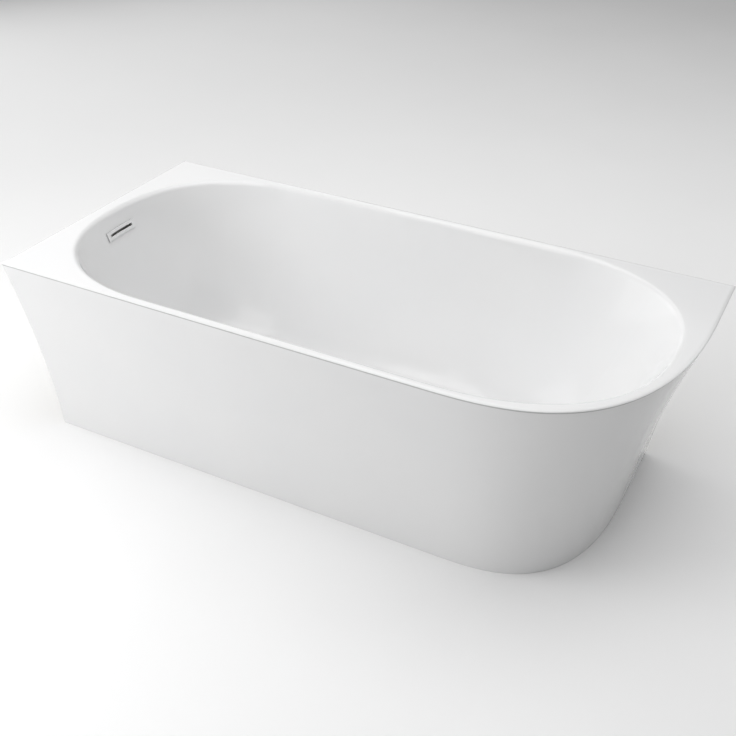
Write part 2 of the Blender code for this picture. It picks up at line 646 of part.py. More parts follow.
def make_hose(start, end, plastic, grey):
    """Overflow hose from the chamber's spigot to the waste body's port, with a nut at each end."""
    radius = 0.0095
    down, across = Vector((0, 0, -1)), Vector((1, 0, 0))
    first = start + down * (GAP + 0.0005)
    last = end - across * (GAP + 0.0005)
    handle = 0.19
    controls = (first, first + down * handle, last - across * handle, last)
    count = 20
    curve = bpy.data.curves.new("overflow_hose", "CURVE")
    curve.dimensions = "3D"
    curve.bevel_depth = radius
    curve.bevel_resolution = 2
    curve.use_fill_caps = True
    spline = curve.splines.new("POLY")
    spline.points.add(count)
    for i, point in enumerate(spline.points):
        t = i / count
        weights = ((1 - t) ** 3, 3 * (1 - t) ** 2 * t, 3 * (1 - t) * t * t, t ** 3)
        place = sum((w * c for w, c in zip(weights, controls)), Vector())
        point.co = (*place, 1.0)
    curve.materials.append(grey)
    hose = bpy.data.objects.new("overflow_hose", curve)
    bpy.context.scene.collection.objects.link(hose)
    for name, point, direction in (("hose_upper_nut", start, down), ("hose_lower_nut", end, -across)):
        nut = [(0.0100, -0.009), (0.0128, -0.009), (0.0136, -0.007), (0.0136, 0.007), (0.0128, 0.009),
               (0.0100, 0.009)]
        make_object(name, turned_body(nut, 16, along(point, direction)), plastic)


def main():
    clear_scene()
    acrylic = make_material("white_acrylic", (0.90, 0.90, 0.90), 0.12)
    timber = make_material("chipboard", (0.60, 0.46, 0.30), 0.80)
    steel = make_material("zinc_plated_steel", (0.62, 0.63, 0.65), 0.38, 1.0)
    rubber = make_material("black_rubber", (0.03, 0.03, 0.03), 0.75)
    plastic = make_material("white_plastic", (0.78, 0.78, 0.76), 0.45)
    grey = make_material("grey_plastic", (0.42, 0.43, 0.44), 0.50)
    chrome = make_material("chrome", (0.85, 0.85, 0.86), 0.06, 1.0)
    brass = make_material("brass", (0.72, 0.55, 0.25), 0.30, 1.0)

    make_basin_shell(acrylic)
    batten = make_skirt(acrylic, timber)
    make_rim_pads(timber)
    make_wall_brackets(steel)
    board = make_board(timber)
    for name, x in zip(("left", "right"), RAIL_X):
        make_rail(name, x, steel, board, batten)
        make_foot(f"{name}_front", x, -FOOT_Y, steel, rubber)
        make_foot(f"{name}_back", x, FOOT_Y, steel, rubber)
    hose_start = make_overflow(acrylic, rubber, plastic)
    hose_end = make_waste(chrome, brass, rubber, plastic)
    make_trap(plastic, grey)
    make_hose(hose_start, hose_end, plastic, grey)


main()
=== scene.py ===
"""Looks of the back-to-wall corner bath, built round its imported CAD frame."""

import functools
import json
import math

import bmesh
import bpy
from mathutils import Matrix, Vector, noise


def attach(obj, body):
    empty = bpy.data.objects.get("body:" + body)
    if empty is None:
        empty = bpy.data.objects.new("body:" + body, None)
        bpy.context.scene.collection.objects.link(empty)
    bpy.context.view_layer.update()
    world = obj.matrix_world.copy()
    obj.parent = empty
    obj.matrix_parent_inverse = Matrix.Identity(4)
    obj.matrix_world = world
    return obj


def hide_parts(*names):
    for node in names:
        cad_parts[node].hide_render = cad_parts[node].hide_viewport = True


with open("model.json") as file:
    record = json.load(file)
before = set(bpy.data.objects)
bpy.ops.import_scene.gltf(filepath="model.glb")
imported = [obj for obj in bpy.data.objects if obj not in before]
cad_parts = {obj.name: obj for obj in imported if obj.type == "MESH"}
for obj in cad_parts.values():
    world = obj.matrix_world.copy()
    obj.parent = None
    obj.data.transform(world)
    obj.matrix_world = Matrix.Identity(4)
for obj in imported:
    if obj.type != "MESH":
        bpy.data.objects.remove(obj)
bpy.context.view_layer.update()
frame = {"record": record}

# Dimensions, in metres
X_LEFT, X_RIGHT = -0.850, 0.850
Y_FRONT, Y_BACK = -0.400, 0.400
HEIGHT = 0.585
GAP = 0.0003
RIM_CORNER, RIM_POWER = (0.338, 0.243), 2.78
TOE_CORNER, TOE_POWER = (0.344, 0.201), 2.94
FRONT_TOE_IN, RIGHT_TOE_IN = 0.1218, 0.1396
SKIRT_WALL, SHELL_WALL = 0.006, 0.008
RIM_EDGE, REBATE = 0.0052, 0.0105
EDGE_ROUND, EDGE_DROP, EDGE_POWER = 0.010, 0.0038, 1.25
# Depth of the painted shade band along the top of the skirt, under the rim
SEAM_SHADE_BAND = 0.0030
LIP_BOTTOM, LIP_INSIDE = 0.555, 0.0065
LIP_BACK_END, LIP_LEFT_END = 0.832, -0.3835
OPENING = (0.380, -0.423, -0.809, 2.28, 0.334, 0.796, 2.29)
FLOOR = (0.205, -0.370, -0.575, 2.10, 0.190, 0.430, 2.10)
LIP_ROUND = 0.014
FLOOR_Z = 0.150
FLOOR_FALL = 0.0065
WASTE = (-0.460, 0.0)
WASTE_HOLE_R, WASTE_FLAT_R = 0.0255, 0.045
OVERFLOW_TURN, OVERFLOW_Z = math.radians(181), 0.528
COVER_WIDTH, COVER_HEIGHT, COVER_PLATE = 0.130, 0.026, 0.0026
COVER_STANDOFF = 0.0008
SLOT_WIDTH, SLOT_HEIGHT = 0.100, 0.007
WALL_HOLE = (0.106, 0.022)
CHAMBER_SIZE, CHAMBER_DEPTH = (0.146, 0.038), 0.022
BOARD_TOP, BOARD_THICK = 0.1417, 0.015
RAIL_TOP = BOARD_TOP - BOARD_THICK - GAP
FOOT_Y = 0.218
RAIL_WALL, RAIL_HEIGHT, RAIL_HALF, RAIL_HALF_Y = 0.0025, 0.025, 0.020, 0.270
RAIL_X = (("left", -0.300), ("right", 0.340))
WELD_NUT_HEIGHT, NUT_BORE, NUT_CORNER = 0.009, 0.0062, 0.0110
THREAD_CORE, THREAD_DEPTH, THREAD_PITCH = 0.0050, 0.0010, 0.00175
THREAD_STEPS = 7
BATTEN_OUT = SKIRT_WALL + GAP + 0.0215
FLARE_SIZE, FLARE_LINEAR, FLARE_SQUARE, FLARE_SOFT = 1.0086, 0.527, 0.473, 0.06
BASIN_LUMP, SKIRT_LUMP = 0.0006, 0.0004
LUMP_SCALE, SKIRT_LUMP_SCALE = 22.0, 24.0
HOSE_HANDLE, HOSE_PITCH = 0.19, 0.0042
UP = Vector((0, 0, 1))


# Materials

class Shader:
    """A node material with one Principled shader, and short calls that add texture nodes."""

    def __init__(self, name, colour, roughness, metallic=0.0):
        self.material = bpy.data.materials.new(name)
        self.material.use_nodes = True
        self.tree = self.material.node_tree
        self.shader = self.tree.nodes["Principled BSDF"]
        self.set("Base Color", (*colour, 1.0))
        self.set("Roughness", roughness)
        self.set("Metallic", metallic)
        self.material.diffuse_color = (*colour, 1.0)
        self.height = None
        self.place = self.add("ShaderNodeTexCoord").outputs["Object"]

    def set(self, socket, value):
        self.shader.inputs[socket].default_value = value

    def add(self, kind, inputs=None, **settings):
        made = self.tree.nodes.new(kind)
        for key, value in settings.items():
            setattr(made, key, value)
        for key, value in (inputs or {}).items():
            self.feed(made.inputs[key], value)
        return made

    def feed(self, socket, value):
        if isinstance(value, bpy.types.NodeSocket):
            self.tree.links.new(value, socket)
        else:
            socket.default_value = value

    def mapped(self, stretch, turn=None):
        """Object coordinates, stretched and turned."""
        if not stretch and not turn:
            return self.place
        return self.add("ShaderNodeMapping", {
            "Vector": self.place, "Scale": stretch or (1, 1, 1), "Rotation": turn or (0, 0, 0)}).outputs[0]

    def noise(self, scale, detail=3.0, stretch=None, turn=None, distortion=0.0):
        return self.add("ShaderNodeTexNoise", {
            "Vector": self.mapped(stretch, turn), "Scale": scale, "Detail": detail,
            "Distortion": distortion}).outputs["Fac"]

    def cells(self, scale, output, stretch):
        return self.add("ShaderNodeTexVoronoi", {
            "Vector": self.mapped(stretch), "Scale": scale}).outputs[output]

    def remap(self, value, low, high, to_low=0.0, to_high=1.0):
        made = self.add("ShaderNodeMapRange", {"Value": value, "From Min": low, "From Max": high,
                                               "To Min": to_low, "To Max": to_high})
        return made.outputs[0]

    def math(self, operation, a, b):
        return self.add("ShaderNodeMath", {0: a, 1: b}, operation=operation).outputs[0]

    def ramp(self, value, stops):
        made = self.add("ShaderNodeValToRGB", {"Fac": value})
        while len(made.color_ramp.elements) < len(stops):
            made.color_ramp.elements.new(1.0)
        for element, (at, colour) in zip(made.color_ramp.elements, stops):
            element.position = at
            element.color = (*colour, 1.0)
        return made.outputs["Color"]

    def mix(self, share, a, b):
        made = self.add("ShaderNodeMix", data_type="RGBA")
        self.feed(made.inputs[0], share)
        for socket, value in ((made.inputs[6], a), (made.inputs[7], b)):
            self.feed(socket, value if isinstance(value, bpy.types.NodeSocket) else (*value, 1.0))
        return made.outputs[2]

    def colour(self, socket):
        self.tree.links.new(socket, self.shader.inputs["Base Color"])

    def roughness(self, value, low, high, to_low, to_high):
        self.tree.links.new(self.remap(value, low, high, to_low, to_high), self.shader.inputs["Roughness"])

    def bump(self, value, depth):
        """Adds relief of a real depth in metres on top of what is there."""
        inputs = {"Height": value, "Distance": depth, "Strength": 1.0}
        if self.height is not None:
            inputs["Normal"] = self.height
        self.height = self.add("ShaderNodeBump", inputs).outputs[0]
        self.feed(self.shader.inputs["Normal"], self.height)


def acrylic_material(name="acrylic_gloss", shaded_seam_height=None, shade=1.0):
    """Gloss sanitary acrylic: even white, with the faint swell of a vacuum-formed sheet.

    Given a seam height, the last few millimetres below it turn grey: painted shade that stands for the
    shadow under the rim's overhang.
    """
    # A shade below 1 darkens every colour of this acrylic, as painted shade
    s = Shader(name, (0.80 * shade, 0.80 * shade, 0.80 * shade), 0.10)
    tone = s.noise(3.0, 2.0)
    base = s.ramp(tone, [(0.35, (0.795 * shade, 0.797 * shade, 0.800 * shade)),
                         (0.65, (0.808 * shade, 0.808 * shade, 0.808 * shade))])
    if shaded_seam_height:
        # Painted shade: the skirt's top few millimetres under the rim are mixed to grey, standing for the
        # shadow in the joint
        height = s.add("ShaderNodeSeparateXYZ", {"Vector": s.place}).outputs["Z"]
        base = s.mix(s.remap(height, shaded_seam_height - SEAM_SHADE_BAND - 0.0012, shaded_seam_height - SEAM_SHADE_BAND), base, (0.52, 0.52, 0.52))
    s.colour(base)
    s.roughness(s.noise(26.0, 4.0), 0.35, 0.65, 0.07, 0.12)
    s.bump(s.noise(16.0, 1.0), 0.00006)
    s.bump(s.noise(700.0, 2.0), 0.0000012)
    s.set("IOR", 1.49)
    return s.material


def laminate_material():
    """Back of the shell: sprayed glass-fibre laminate, milky, with chopped strands showing."""
    s = Shader("glassfibre_laminate", (0.70, 0.69, 0.62), 0.38)
    strands = None
    for step, turn in enumerate((0.1, 0.9, 1.7, 2.5)):
        streak = s.noise(55.0 + 9 * step, 2.0, stretch=(7.0, 0.35, 2.2),
                         turn=(0.6 * turn, turn, 1.3 * turn))
        streak = s.remap(streak, 0.56, 0.66)
        strands = streak if strands is None else s.math("MAXIMUM", strands, streak)
    cloud = s.noise(6.0, 4.0)
    base = s.ramp(cloud, [(0.30, (0.58, 0.56, 0.47)), (0.70, (0.70, 0.68, 0.60))])
    s.colour(s.mix(s.math("MULTIPLY", strands, 0.55), base, (0.80, 0.79, 0.74)))
    s.roughness(cloud, 0.3, 0.7, 0.28, 0.50)
    s.bump(s.noise(38.0, 3.0), 0.0012)
    s.bump(strands, 0.0004)
    return s.material


def chipboard_material():
    """Particle board: pressed flakes of mixed browns."""
    s = Shader("chipboard_flakes", (0.55, 0.41, 0.26), 0.80)
    flakes = s.cells(260.0, "Color", stretch=(1.0, 0.55, 1.6))
    gray = s.add("ShaderNodeRGBToBW", {"Color": flakes}).outputs[0]
    chips = s.ramp(gray, [(0.0, (0.30, 0.19, 0.10)), (0.35, (0.50, 0.36, 0.21)), (0.65, (0.62, 0.47, 0.29)),
                          (1.0, (0.75, 0.61, 0.42))])
    fibre = s.noise(900.0, 3.0, stretch=(1.0, 0.15, 1.0))
    s.colour(s.mix(0.35, chips, s.ramp(fibre, [(0.3, (0.40, 0.28, 0.16)), (0.7, (0.70, 0.56, 0.38))])))
    s.roughness(fibre, 0.3, 0.7, 0.70, 0.92)
    s.bump(s.cells(260.0, "Distance", stretch=(1.0, 0.55, 1.6)), 0.00025)
    s.bump(fibre, 0.00010)
    return s.material


def zinc_material():
    """Bright zinc plating on pressed steel: fine rolling marks and a faint yellow and blue tint."""
    s = Shader("zinc_plating", (0.62, 0.63, 0.65), 0.34, 1.0)
    tint = s.noise(34.0, 4.0)
    s.colour(s.ramp(tint, [(0.30, (0.56, 0.58, 0.62)), (0.50, (0.63, 0.64, 0.65)),
                           (0.72, (0.68, 0.66, 0.60))]))
    drawn = s.noise(420.0, 3.0, stretch=(1.0, 0.04, 1.0))
    s.roughness(s.math("ADD", s.math("MULTIPLY", tint, 0.5), s.math("MULTIPLY", drawn, 0.5)),
                0.3, 0.7, 0.24, 0.46)
    s.bump(drawn, 0.00003)
    return s.material


def patchy_material(name, colour, rough, metallic, patches, stops, rough_range, grain=None):
    """Patches of noise that tint the colour and set the roughness, and a fine grain in relief."""
    s = Shader(name, colour, rough, metallic)
    patch = s.noise(*patches)
    s.colour(s.ramp(patch, stops))
    s.roughness(patch, 0.3, 0.7, *rough_range)
    if grain:
        scale, detail, stretch, depth = grain
        s.bump(s.noise(scale, detail, stretch), depth)
    return s.material


def plastic_material(name, dark, light, rough):
    """Injection-moulded plastic: fine spark-eroded texture with flow marks."""
    s = Shader(name, light, rough)
    flow = s.noise(20.0, 3.0, distortion=0.6)
    s.colour(s.ramp(flow, [(0.35, dark), (0.65, light)]))
    s.roughness(s.noise(120.0, 3.0), 0.3, 0.7, rough - 0.07, rough + 0.08)
    s.bump(s.noise(1800.0, 2.0), 0.00003)
    s.bump(flow, 0.00008)
    return s.material


def chrome_material():
    """Chromium plate with hairline polishing marks."""
    s = Shader("chrome_plate", (0.86, 0.87, 0.88), 0.07, 1.0)
    hair = s.noise(900.0, 3.0, stretch=(1.0, 0.08, 1.0))
    smear = s.noise(60.0, 4.0)
    s.colour(s.ramp(smear, [(0.3, (0.80, 0.81, 0.82)), (0.7, (0.88, 0.88, 0.89))]))
    s.roughness(smear, 0.3, 0.7, 0.04, 0.13)
    s.bump(hair, 0.000003)
    return s.material


ACRYLIC = acrylic_material()
# Skirt acrylic with a painted shade band along its top, for the shadow under the rim
SKIRT_ACRYLIC_SEAM_SHADE = acrylic_material("acrylic_gloss_seam_shade", shaded_seam_height=HEIGHT - RIM_EDGE - GAP)
# The cover's back bevel and sides get darkened acrylic: painted shade for the shadow gap behind the cover,
# which stands off the wall
COVER_EDGE_SHADE = acrylic_material("acrylic_edge_shade", shade=0.35)
LAMINATE = laminate_material()
CHIPBOARD = chipboard_material()
ZINC = zinc_material()
# Moulded black rubber with a dull bloom
RUBBER = patchy_material(
    "rubber_moulded", (0.022, 0.022, 0.023), 0.72, 0.0, (48.0, 5.0),
    [(0.35, (0.016, 0.016, 0.017)), (0.75, (0.050, 0.049, 0.047))], (0.62, 0.86),
    (1400.0, 2.0, None, 0.00004))
WHITE_PLASTIC = plastic_material("plastic_white", (0.70, 0.70, 0.68), (0.78, 0.78, 0.76), 0.42)
GREY_PLASTIC = plastic_material("plastic_grey", (0.36, 0.37, 0.38), (0.43, 0.44, 0.45), 0.48)
CHROME = chrome_material()
# Turned brass with tool rings
BRASS = patchy_material(
    "brass_turned", (0.72, 0.55, 0.25), 0.30, 1.0, (70.0, 4.0),
    [(0.3, (0.58, 0.42, 0.18)), (0.7, (0.76, 0.59, 0.29))], (0.22, 0.42),
    (2500.0, 1.0, (0.05, 0.05, 1.0), 0.00002))
SLOT_MATERIAL = {
    "white_acrylic": ACRYLIC, "chipboard": CHIPBOARD, "zinc_plated_steel": ZINC, "black_rubber": RUBBER,
    "white_plastic": WHITE_PLASTIC, "grey_plastic": GREY_PLASTIC, "chrome": CHROME, "brass": BRASS}


SLOT_OF = {row["node"]: row["material_slot"] for row in frame["record"]["subparts"]}


# Pieces

def face_outwards(body):
    bmesh.ops.recalc_face_normals(body, faces=body.faces)
    if body.calc_volume(signed=True) < 0:
        bmesh.ops.reverse_faces(body, faces=body.faces)


def put(name, data):
    """Adds an object to the scene."""
    made = bpy.data.objects.new(name, data)
    bpy.context.scene.collection.objects.link(made)
    return made


def put_mesh(name, body):
    """Adds a bmesh to the scene as an object, and frees it."""
    mesh = bpy.data.meshes.new(name)
    body.to_mesh(mesh)
    body.free()
    return put(name, mesh)


def finish_piece(name, body, node, materials=None, rides="root", sharp=35.0):
    """Turns a bmesh in world metres into a piece that stands for a CAD node. Flat sides stay flat."""
    slot = SLOT_OF[node]
    face_outwards(body)
    piece = put_mesh(name, body)
    for material in materials or (SLOT_MATERIAL[slot],):
        piece.data.materials.append(material)
    piece.data.shade_smooth()
    piece.data.set_sharp_from_angle(angle=math.radians(sharp))
    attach(piece, rides)
    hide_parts(node)
    steady = piece.modifiers.new("steady_normals", "WEIGHTED_NORMAL")
    steady.keep_sharp = True


def loft(loops, closed_stack=True, face_slots=None, end_faces=True):
    """Skins closed loops of points. A closed stack joins the last loop to the first."""
    body = bmesh.new()
    rings = [[body.verts.new(point) for point in loop] for loop in loops]
    count = len(rings[0])
    pairs = list(zip(rings, rings[1:]))
    if closed_stack:
        pairs.append((rings[-1], rings[0]))
    for ring, following in pairs:
        for i in range(count):
            j = (i + 1) % count
            face = body.faces.new((ring[i], ring[j], following[j], following[i]))
            if face_slots:
                face.material_index = face_slots[i]
    if end_faces and not closed_stack:
        for ring in (rings[0], rings[-1]):
            body.faces.new(ring)
    return body


def turned(profile, segments, place=None):
    """Turns a closed outline of (radius, height) points about Z. Points on the axis are poles, and a
    radius may be a function of the angle."""
    body = bmesh.new()
    rings = []
    turns = [math.tau * i / segments for i in range(segments)]
    for radius, height in profile:
        if not callable(radius) and radius < 1e-6:
            rings.append([body.verts.new((0, 0, height))] * segments)
            continue
        reach = [radius(a) if callable(radius) else radius for a in turns]
        rings.append([body.verts.new((r * math.cos(a), r * math.sin(a), height)) for r,
                      a in zip(reach, turns)])
    for ring, following in zip(rings, rings[1:] + rings[:1]):
        for i in range(segments):
            j = (i + 1) % segments
            corners = list(dict.fromkeys((ring[i], ring[j], following[j], following[i])))
            if len(corners) > 2:
                body.faces.new(corners)
    if place is not None:
        bmesh.ops.transform(body, matrix=place, verts=body.verts)
    return body


def hexagon(corner, limit=1.0):
    """Radius of a hexagon with that corner radius, turned down to a round limit."""
    apothem = corner * math.cos(math.pi / 6)
    return lambda turn: min(apothem / math.cos(turn % (math.pi / 3) - math.pi / 6), limit)


def ribs(base, depth, count):
    """Radius with raised grip ribs."""
    return lambda turn: base + depth * min(max(0.5 + 1.5 * math.cos(turn * count), 0.0), 1.0)


def thread(core, depth, pitch, height):
    """Radius of a right-hand thread at a height."""
    def radius(turn):
        phase = (height / pitch - turn / math.tau) % 1.0
        return core + depth * min(1.25 * (1 - abs(2 * phase - 1)), 1.0)
    return radius


def along(point, direction):
    """Matrix that carries +Z to a direction and the origin to a point."""
    return Matrix.Translation(point) @ UP.rotation_difference(Vector(direction)).to_matrix().to_4x4()


def rod(radius, low, high, place=None, segments=32):
    return turned([(0, low), (radius, low), (radius, high), (0, high)], segments, place)


def combine(body, tool, operation, solver="EXACT"):
    """Boolean of two bmeshes, as a new bmesh."""
    pair = []
    for part in (body, tool):
        face_outwards(part)
        pair.append(put_mesh("boolean", part))
    modifier = pair[0].modifiers.new("boolean", "BOOLEAN")
    modifier.operation = operation
    modifier.solver = solver
    modifier.object = pair[1]
    made = bmesh.new()
    made.from_object(pair[0], bpy.context.evaluated_depsgraph_get())
    for thing in pair:
        bpy.data.objects.remove(thing)
    return made


def branch(body, place, outside, bore, segments=32):
    """Joins a tube to a body. The outside and the bore are each a radius, a start and an end."""
    body = combine(body, rod(*outside, place, segments), "UNION")
    return combine(body, rod(*bore, place, segments), "DIFFERENCE")


def rounded(outline, radius, steps=4, closed=True):
    """Outline with its corners rounded, each as far as its two sides allow. radius may be a list."""
    points = [Vector(p) for p in outline]
    count = len(points)
    radii = radius if isinstance(radius, (list, tuple)) else [radius] * count
    made = []
    for i, corner in enumerate(points):
        before, after = points[i - 1], points[(i + 1) % count]
        if (not closed and i in (0, count - 1)) or radii[i] <= 0:
            made.append(tuple(corner))
            continue
        a, b = before - corner, after - corner
        half = a.angle(b) / 2
        if half > math.radians(85):
            made.append(tuple(corner))
            continue
        cut = min(radii[i] / math.tan(half), 0.45 * a.length, 0.45 * b.length)
        start, end = corner + a.normalized() * cut, corner + b.normalized() * cut
        for step in range(steps + 1):
            t = step / steps
            made.append(tuple((1 - t) ** 2 * start + 2 * (1 - t) * t * corner + t * t * end))
    return made


# Plan outlines

def in_oval(x, y, oval, grow=0.0):
    half, left, left_end, left_power, right, right_end, right_power = oval
    half += grow
    if x < left:
        reach, power, past = left - left_end + grow, left_power, left - x
    elif x > right:
        reach, power, past = right_end - right + grow, right_power, x - right
    else:
        return abs(y) <= half
    return (past / reach) ** power + (abs(y) / half) ** power <= 1.0


RIM_REACH = X_RIGHT - RIM_CORNER[0], RIM_CORNER[1] - Y_FRONT


def in_rim(x, y):
    if abs(x) > X_RIGHT or abs(y) > Y_BACK:
        return False
    past_x, past_y = x - RIM_CORNER[0], RIM_CORNER[1] - y
    if past_x <= 0 or past_y <= 0:
        return True
    reach_x, reach_y = RIM_REACH
    return (past_x / reach_x) ** RIM_POWER + (past_y / reach_y) ** RIM_POWER <= 1.0


def reach_outline(start, turn, inside):
    """Point where a ray from start leaves an outline, by halving the interval."""
    near, far = 0.0, 1.2
    for _ in range(36):
        middle = (near + far) / 2
        if inside(start[0] + middle * math.cos(turn), start[1] + middle * math.sin(turn)):
            near = middle
        else:
            far = middle
    return Vector((start[0] + near * math.cos(turn), start[1] + near * math.sin(turn)))


def inset_rim(point, inset):
    """Point of the rim's outline moved inwards, square to each side that it lies on."""
    x, y = point
    past_x, past_y = x - RIM_CORNER[0], RIM_CORNER[1] - y
    if past_x > 1e-4 and past_y > 1e-4:
        reach_x, reach_y = RIM_REACH
        slope = Vector(((past_x / reach_x) ** (RIM_POWER - 1) / reach_x,
                        -(past_y / reach_y) ** (RIM_POWER - 1) / reach_y))
        return Vector((x, y)) - slope.normalized() * inset
    return Vector((min(max(x, X_LEFT + inset), X_RIGHT - inset),
                   min(max(y, Y_FRONT + inset), Y_BACK - inset)))


def spread(first, last, count):
    """Evenly spaced values that leave out the last one."""
    return [first + (last - first) * i / count for i in range(count)]


def bezier(controls, t):
    """Point of a cubic Bezier curve."""
    weights = ((1 - t) ** 3, 3 * (1 - t) ** 2 * t, 3 * (1 - t) * t * t, t ** 3)
    return sum((w * c for w, c in zip(weights, controls)), Vector())


# Basin shell

def basin_stations(fine):
    """Ray starts and directions round the basin, one of them through each sharp rim corner."""
    left, right = OPENING[1], OPENING[4]
    left_corner = math.atan2(Y_BACK, X_LEFT - left)
    right_corner = math.atan2(Y_BACK, X_RIGHT - right)
    quarter = math.pi / 2
    back_end = math.atan2(Y_BACK, LIP_BACK_END - right)
    left_end = math.tau - math.atan2(-LIP_LEFT_END, X_LEFT - left)
    snap = 0.0006
    stations = []

    def turn_round(start, *runs):
        for first, last, share in runs:
            stations.extend((start, turn) for turn in spread(first, last, max(1, round(share * fine))))

    def go_along(turn, first, last):
        stations.extend((x, turn) for x in spread(first, last, 5 * fine))

    turn_round(right, (-quarter, 0, 11), (0, right_corner, 4), (right_corner, back_end - snap, 1),
               (back_end - snap, back_end, 0.25), (back_end, quarter, 5.5))
    go_along(quarter, right, left)
    turn_round(left, (quarter, left_corner, 5), (left_corner, math.pi, 5), (math.pi, left_end, 5),
               (left_end, left_end + snap, 0.25), (left_end + snap, math.tau - left_corner, 0.25),
               (math.tau - left_corner, 3 * quarter, 5))
    go_along(-quarter, left, right)
    return stations


def wall_curve(t, drop):
    """Sloping wall in its own plane: share of the way in, and height below the lip."""
    inward = 3 * (1 - t) ** 2 * t * 0.28 + 3 * (1 - t) * t ** 2 * 0.42 + t ** 3
    down = 3 * (1 - t) ** 2 * t * 0.42 + 3 * (1 - t) * t ** 2 * 1.0 + t ** 3
    return inward, down * drop


WALL_FIRST, WALL_COUNT, FILLET_COUNT = 8, 30, 9


def wall_points(points):
    """The part of a basin profile that is the sloping wall."""
    return points[WALL_FIRST:WALL_FIRST + WALL_COUNT + 1]


def basin_profile(start_x, turn):
    """Points from the waste hole up the wall and over the lip, and the direction out of the basin."""
    start = (start_x, 0.0)
    lip = reach_outline(start, turn, lambda x, y: in_oval(x, y, OPENING, 0.6 * LIP_ROUND))
    wall = reach_outline(start, turn, lambda x, y: in_oval(x, y, OPENING, -0.6 * LIP_ROUND))
    foot = reach_outline(start, turn, lambda x, y: in_oval(x, y, FLOOR))
    out = (wall - foot).normalized()
    waste = Vector(WASTE)
    spoke = (foot - waste).normalized()
    foot_z = FLOOR_Z + FLOOR_FALL * ((foot - waste).length - WASTE_FLAT_R)
    points = []
    for radius, drop in ((WASTE_HOLE_R, 0.0012), (WASTE_HOLE_R + 0.0004, 0.0003),
                         (WASTE_HOLE_R + 0.0012, 0.0),
                         (WASTE_FLAT_R, 0.0)):
        points.append(Vector((*(waste + spoke * radius), FLOOR_Z - drop)))
    foot_point = Vector((*foot, foot_z))
    points += [points[3].lerp(foot_point, share) for share in (0.2, 0.4, 0.6, 0.8)]
    wall_top = HEIGHT - LIP_ROUND
    for i in range(WALL_COUNT + 1):
        t = 1 - i / WALL_COUNT
        share, down = wall_curve(t, wall_top - foot_z)
        points.append(Vector((*(wall.lerp(foot, share)), wall_top - down)))
    top, below = points[-1], points[-2]
    rise = (top - below).normalized()
    end = Vector((*lip, HEIGHT))
    level = end - top
    level.z = 0
    handle = 0.58 * LIP_ROUND
    controls = (top, top + rise * handle, end - level.normalized() * handle * 1.2, end)
    points += [bezier(controls, i / FILLET_COUNT) for i in range(1, FILLET_COUNT + 1)]
    return points, Vector((*out, 0.0))


def lip_depth(rim):
    """Lowest point of the rim's edge: turned down where it meets a wall, thin elsewhere."""
    on_back = rim.y > Y_BACK - 1e-5 and rim.x < LIP_BACK_END + 1e-5
    on_left = rim.x < X_LEFT + 1e-5 and rim.y > LIP_LEFT_END - 1e-5
    return LIP_BOTTOM if on_back or on_left else HEIGHT - RIM_EDGE


def make_basin_shell():
    """Basin, deck, rolled rim edge, turned-down lips and underside, as one closed skin."""
    loops = []
    for start_x, turn in basin_stations(5):
        start = (start_x, 0.0)
        points, out = basin_profile(start_x, turn)
        rim = reach_outline(start, turn, in_rim)
        loop = list(points)
        deck_start = points[-1].xy
        deck_end = inset_rim(rim, EDGE_ROUND)
        for share in (0.33, 0.67, 1.0):
            loop.append(Vector((*deck_start.lerp(deck_end, share), HEIGHT)))
        for angle in (12, 24, 36, 48, 60, 70, 80, 90):
            a = math.radians(angle)
            spot = inset_rim(rim, EDGE_ROUND * (1 - math.sin(a) ** EDGE_POWER))
            loop.append(Vector((*spot, HEIGHT - EDGE_DROP * (1 - max(math.cos(a), 0.0) ** EDGE_POWER))))
        low = lip_depth(rim)
        edge = 0.0009 if low < HEIGHT - SHELL_WALL else 0.0015
        for inset, up in ((0.0, edge), (0.3 * edge, 0.3 * edge), (edge, 0.0)):
            loop.append(Vector((*inset_rim(rim, inset), low + up)))
        outside = len(loop)
        deck_under = HEIGHT - SHELL_WALL
        if low < deck_under:
            under_edge = ((LIP_INSIDE - edge, low), (LIP_INSIDE - 0.3 * edge, low + 0.3 * edge),
                          (LIP_INSIDE, low + edge), (LIP_INSIDE, deck_under - 0.003),
                          (LIP_INSIDE + 0.001, deck_under - 0.001), (LIP_INSIDE + 0.003, deck_under))
        else:
            under_edge = ((0.003, low), (0.005, low), (REBATE - 0.0005, low), (REBATE, low - 0.0005),
                          (REBATE, deck_under + 0.0005), (REBATE + 0.0005, deck_under))
        for inset, z in under_edge:
            loop.append(Vector((*inset_rim(rim, inset), z)))
        under = []
        wall = wall_points(points)
        for i, point in enumerate(wall):
            before, after = wall[max(i - 1, 0)], wall[min(i + 1, len(wall) - 1)]
            run = after - before
            normal = Vector((run.dot(out), run.z)).normalized()
            lump = BASIN_LUMP * noise.noise(point * LUMP_SCALE)
            under.append(point + (SHELL_WALL + lump) * (normal.y * out - normal.x * UP))
        loop.append(Vector((*(deck_start + out.xy * 0.004), deck_under)))
        loop += [p for p in under[::-1] if FLOOR_Z - SHELL_WALL + 0.001 < p.z < deck_under - 0.004]
        loops.append((loop, points))
    shortest = min(len(loop) for loop, _ in loops)
    final = []
    for loop, points in loops:
        below = [Vector((*point.xy, FLOOR_Z - SHELL_WALL)) for point in (points[WALL_FIRST], points[3],
                                                                         points[0])]
        final.append(loop[:shortest] + below)
    slots = [0 if i < outside else 1 for i in range(len(final[0]))]
    body = loft(final, face_slots=slots)
    body = combine(body, curved_block(WALL_HOLE, -0.012, 0.006, 0.001, 0.003), "DIFFERENCE", "FAST")
    finish_piece("basin_shell_surface", body, "basin_shell", (ACRYLIC, LAMINATE))


# Overflow cover on the curved end wall

def wall_spot(angle, z):
    points, _ = basin_profile(OPENING[1], angle)
    wall = wall_points(points)
    for low, high in zip(wall, wall[1:]):
        if low.z <= z <= high.z:
            return low.lerp(high, (z - low.z) / (high.z - low.z))
    raise ValueError("height is off the wall")


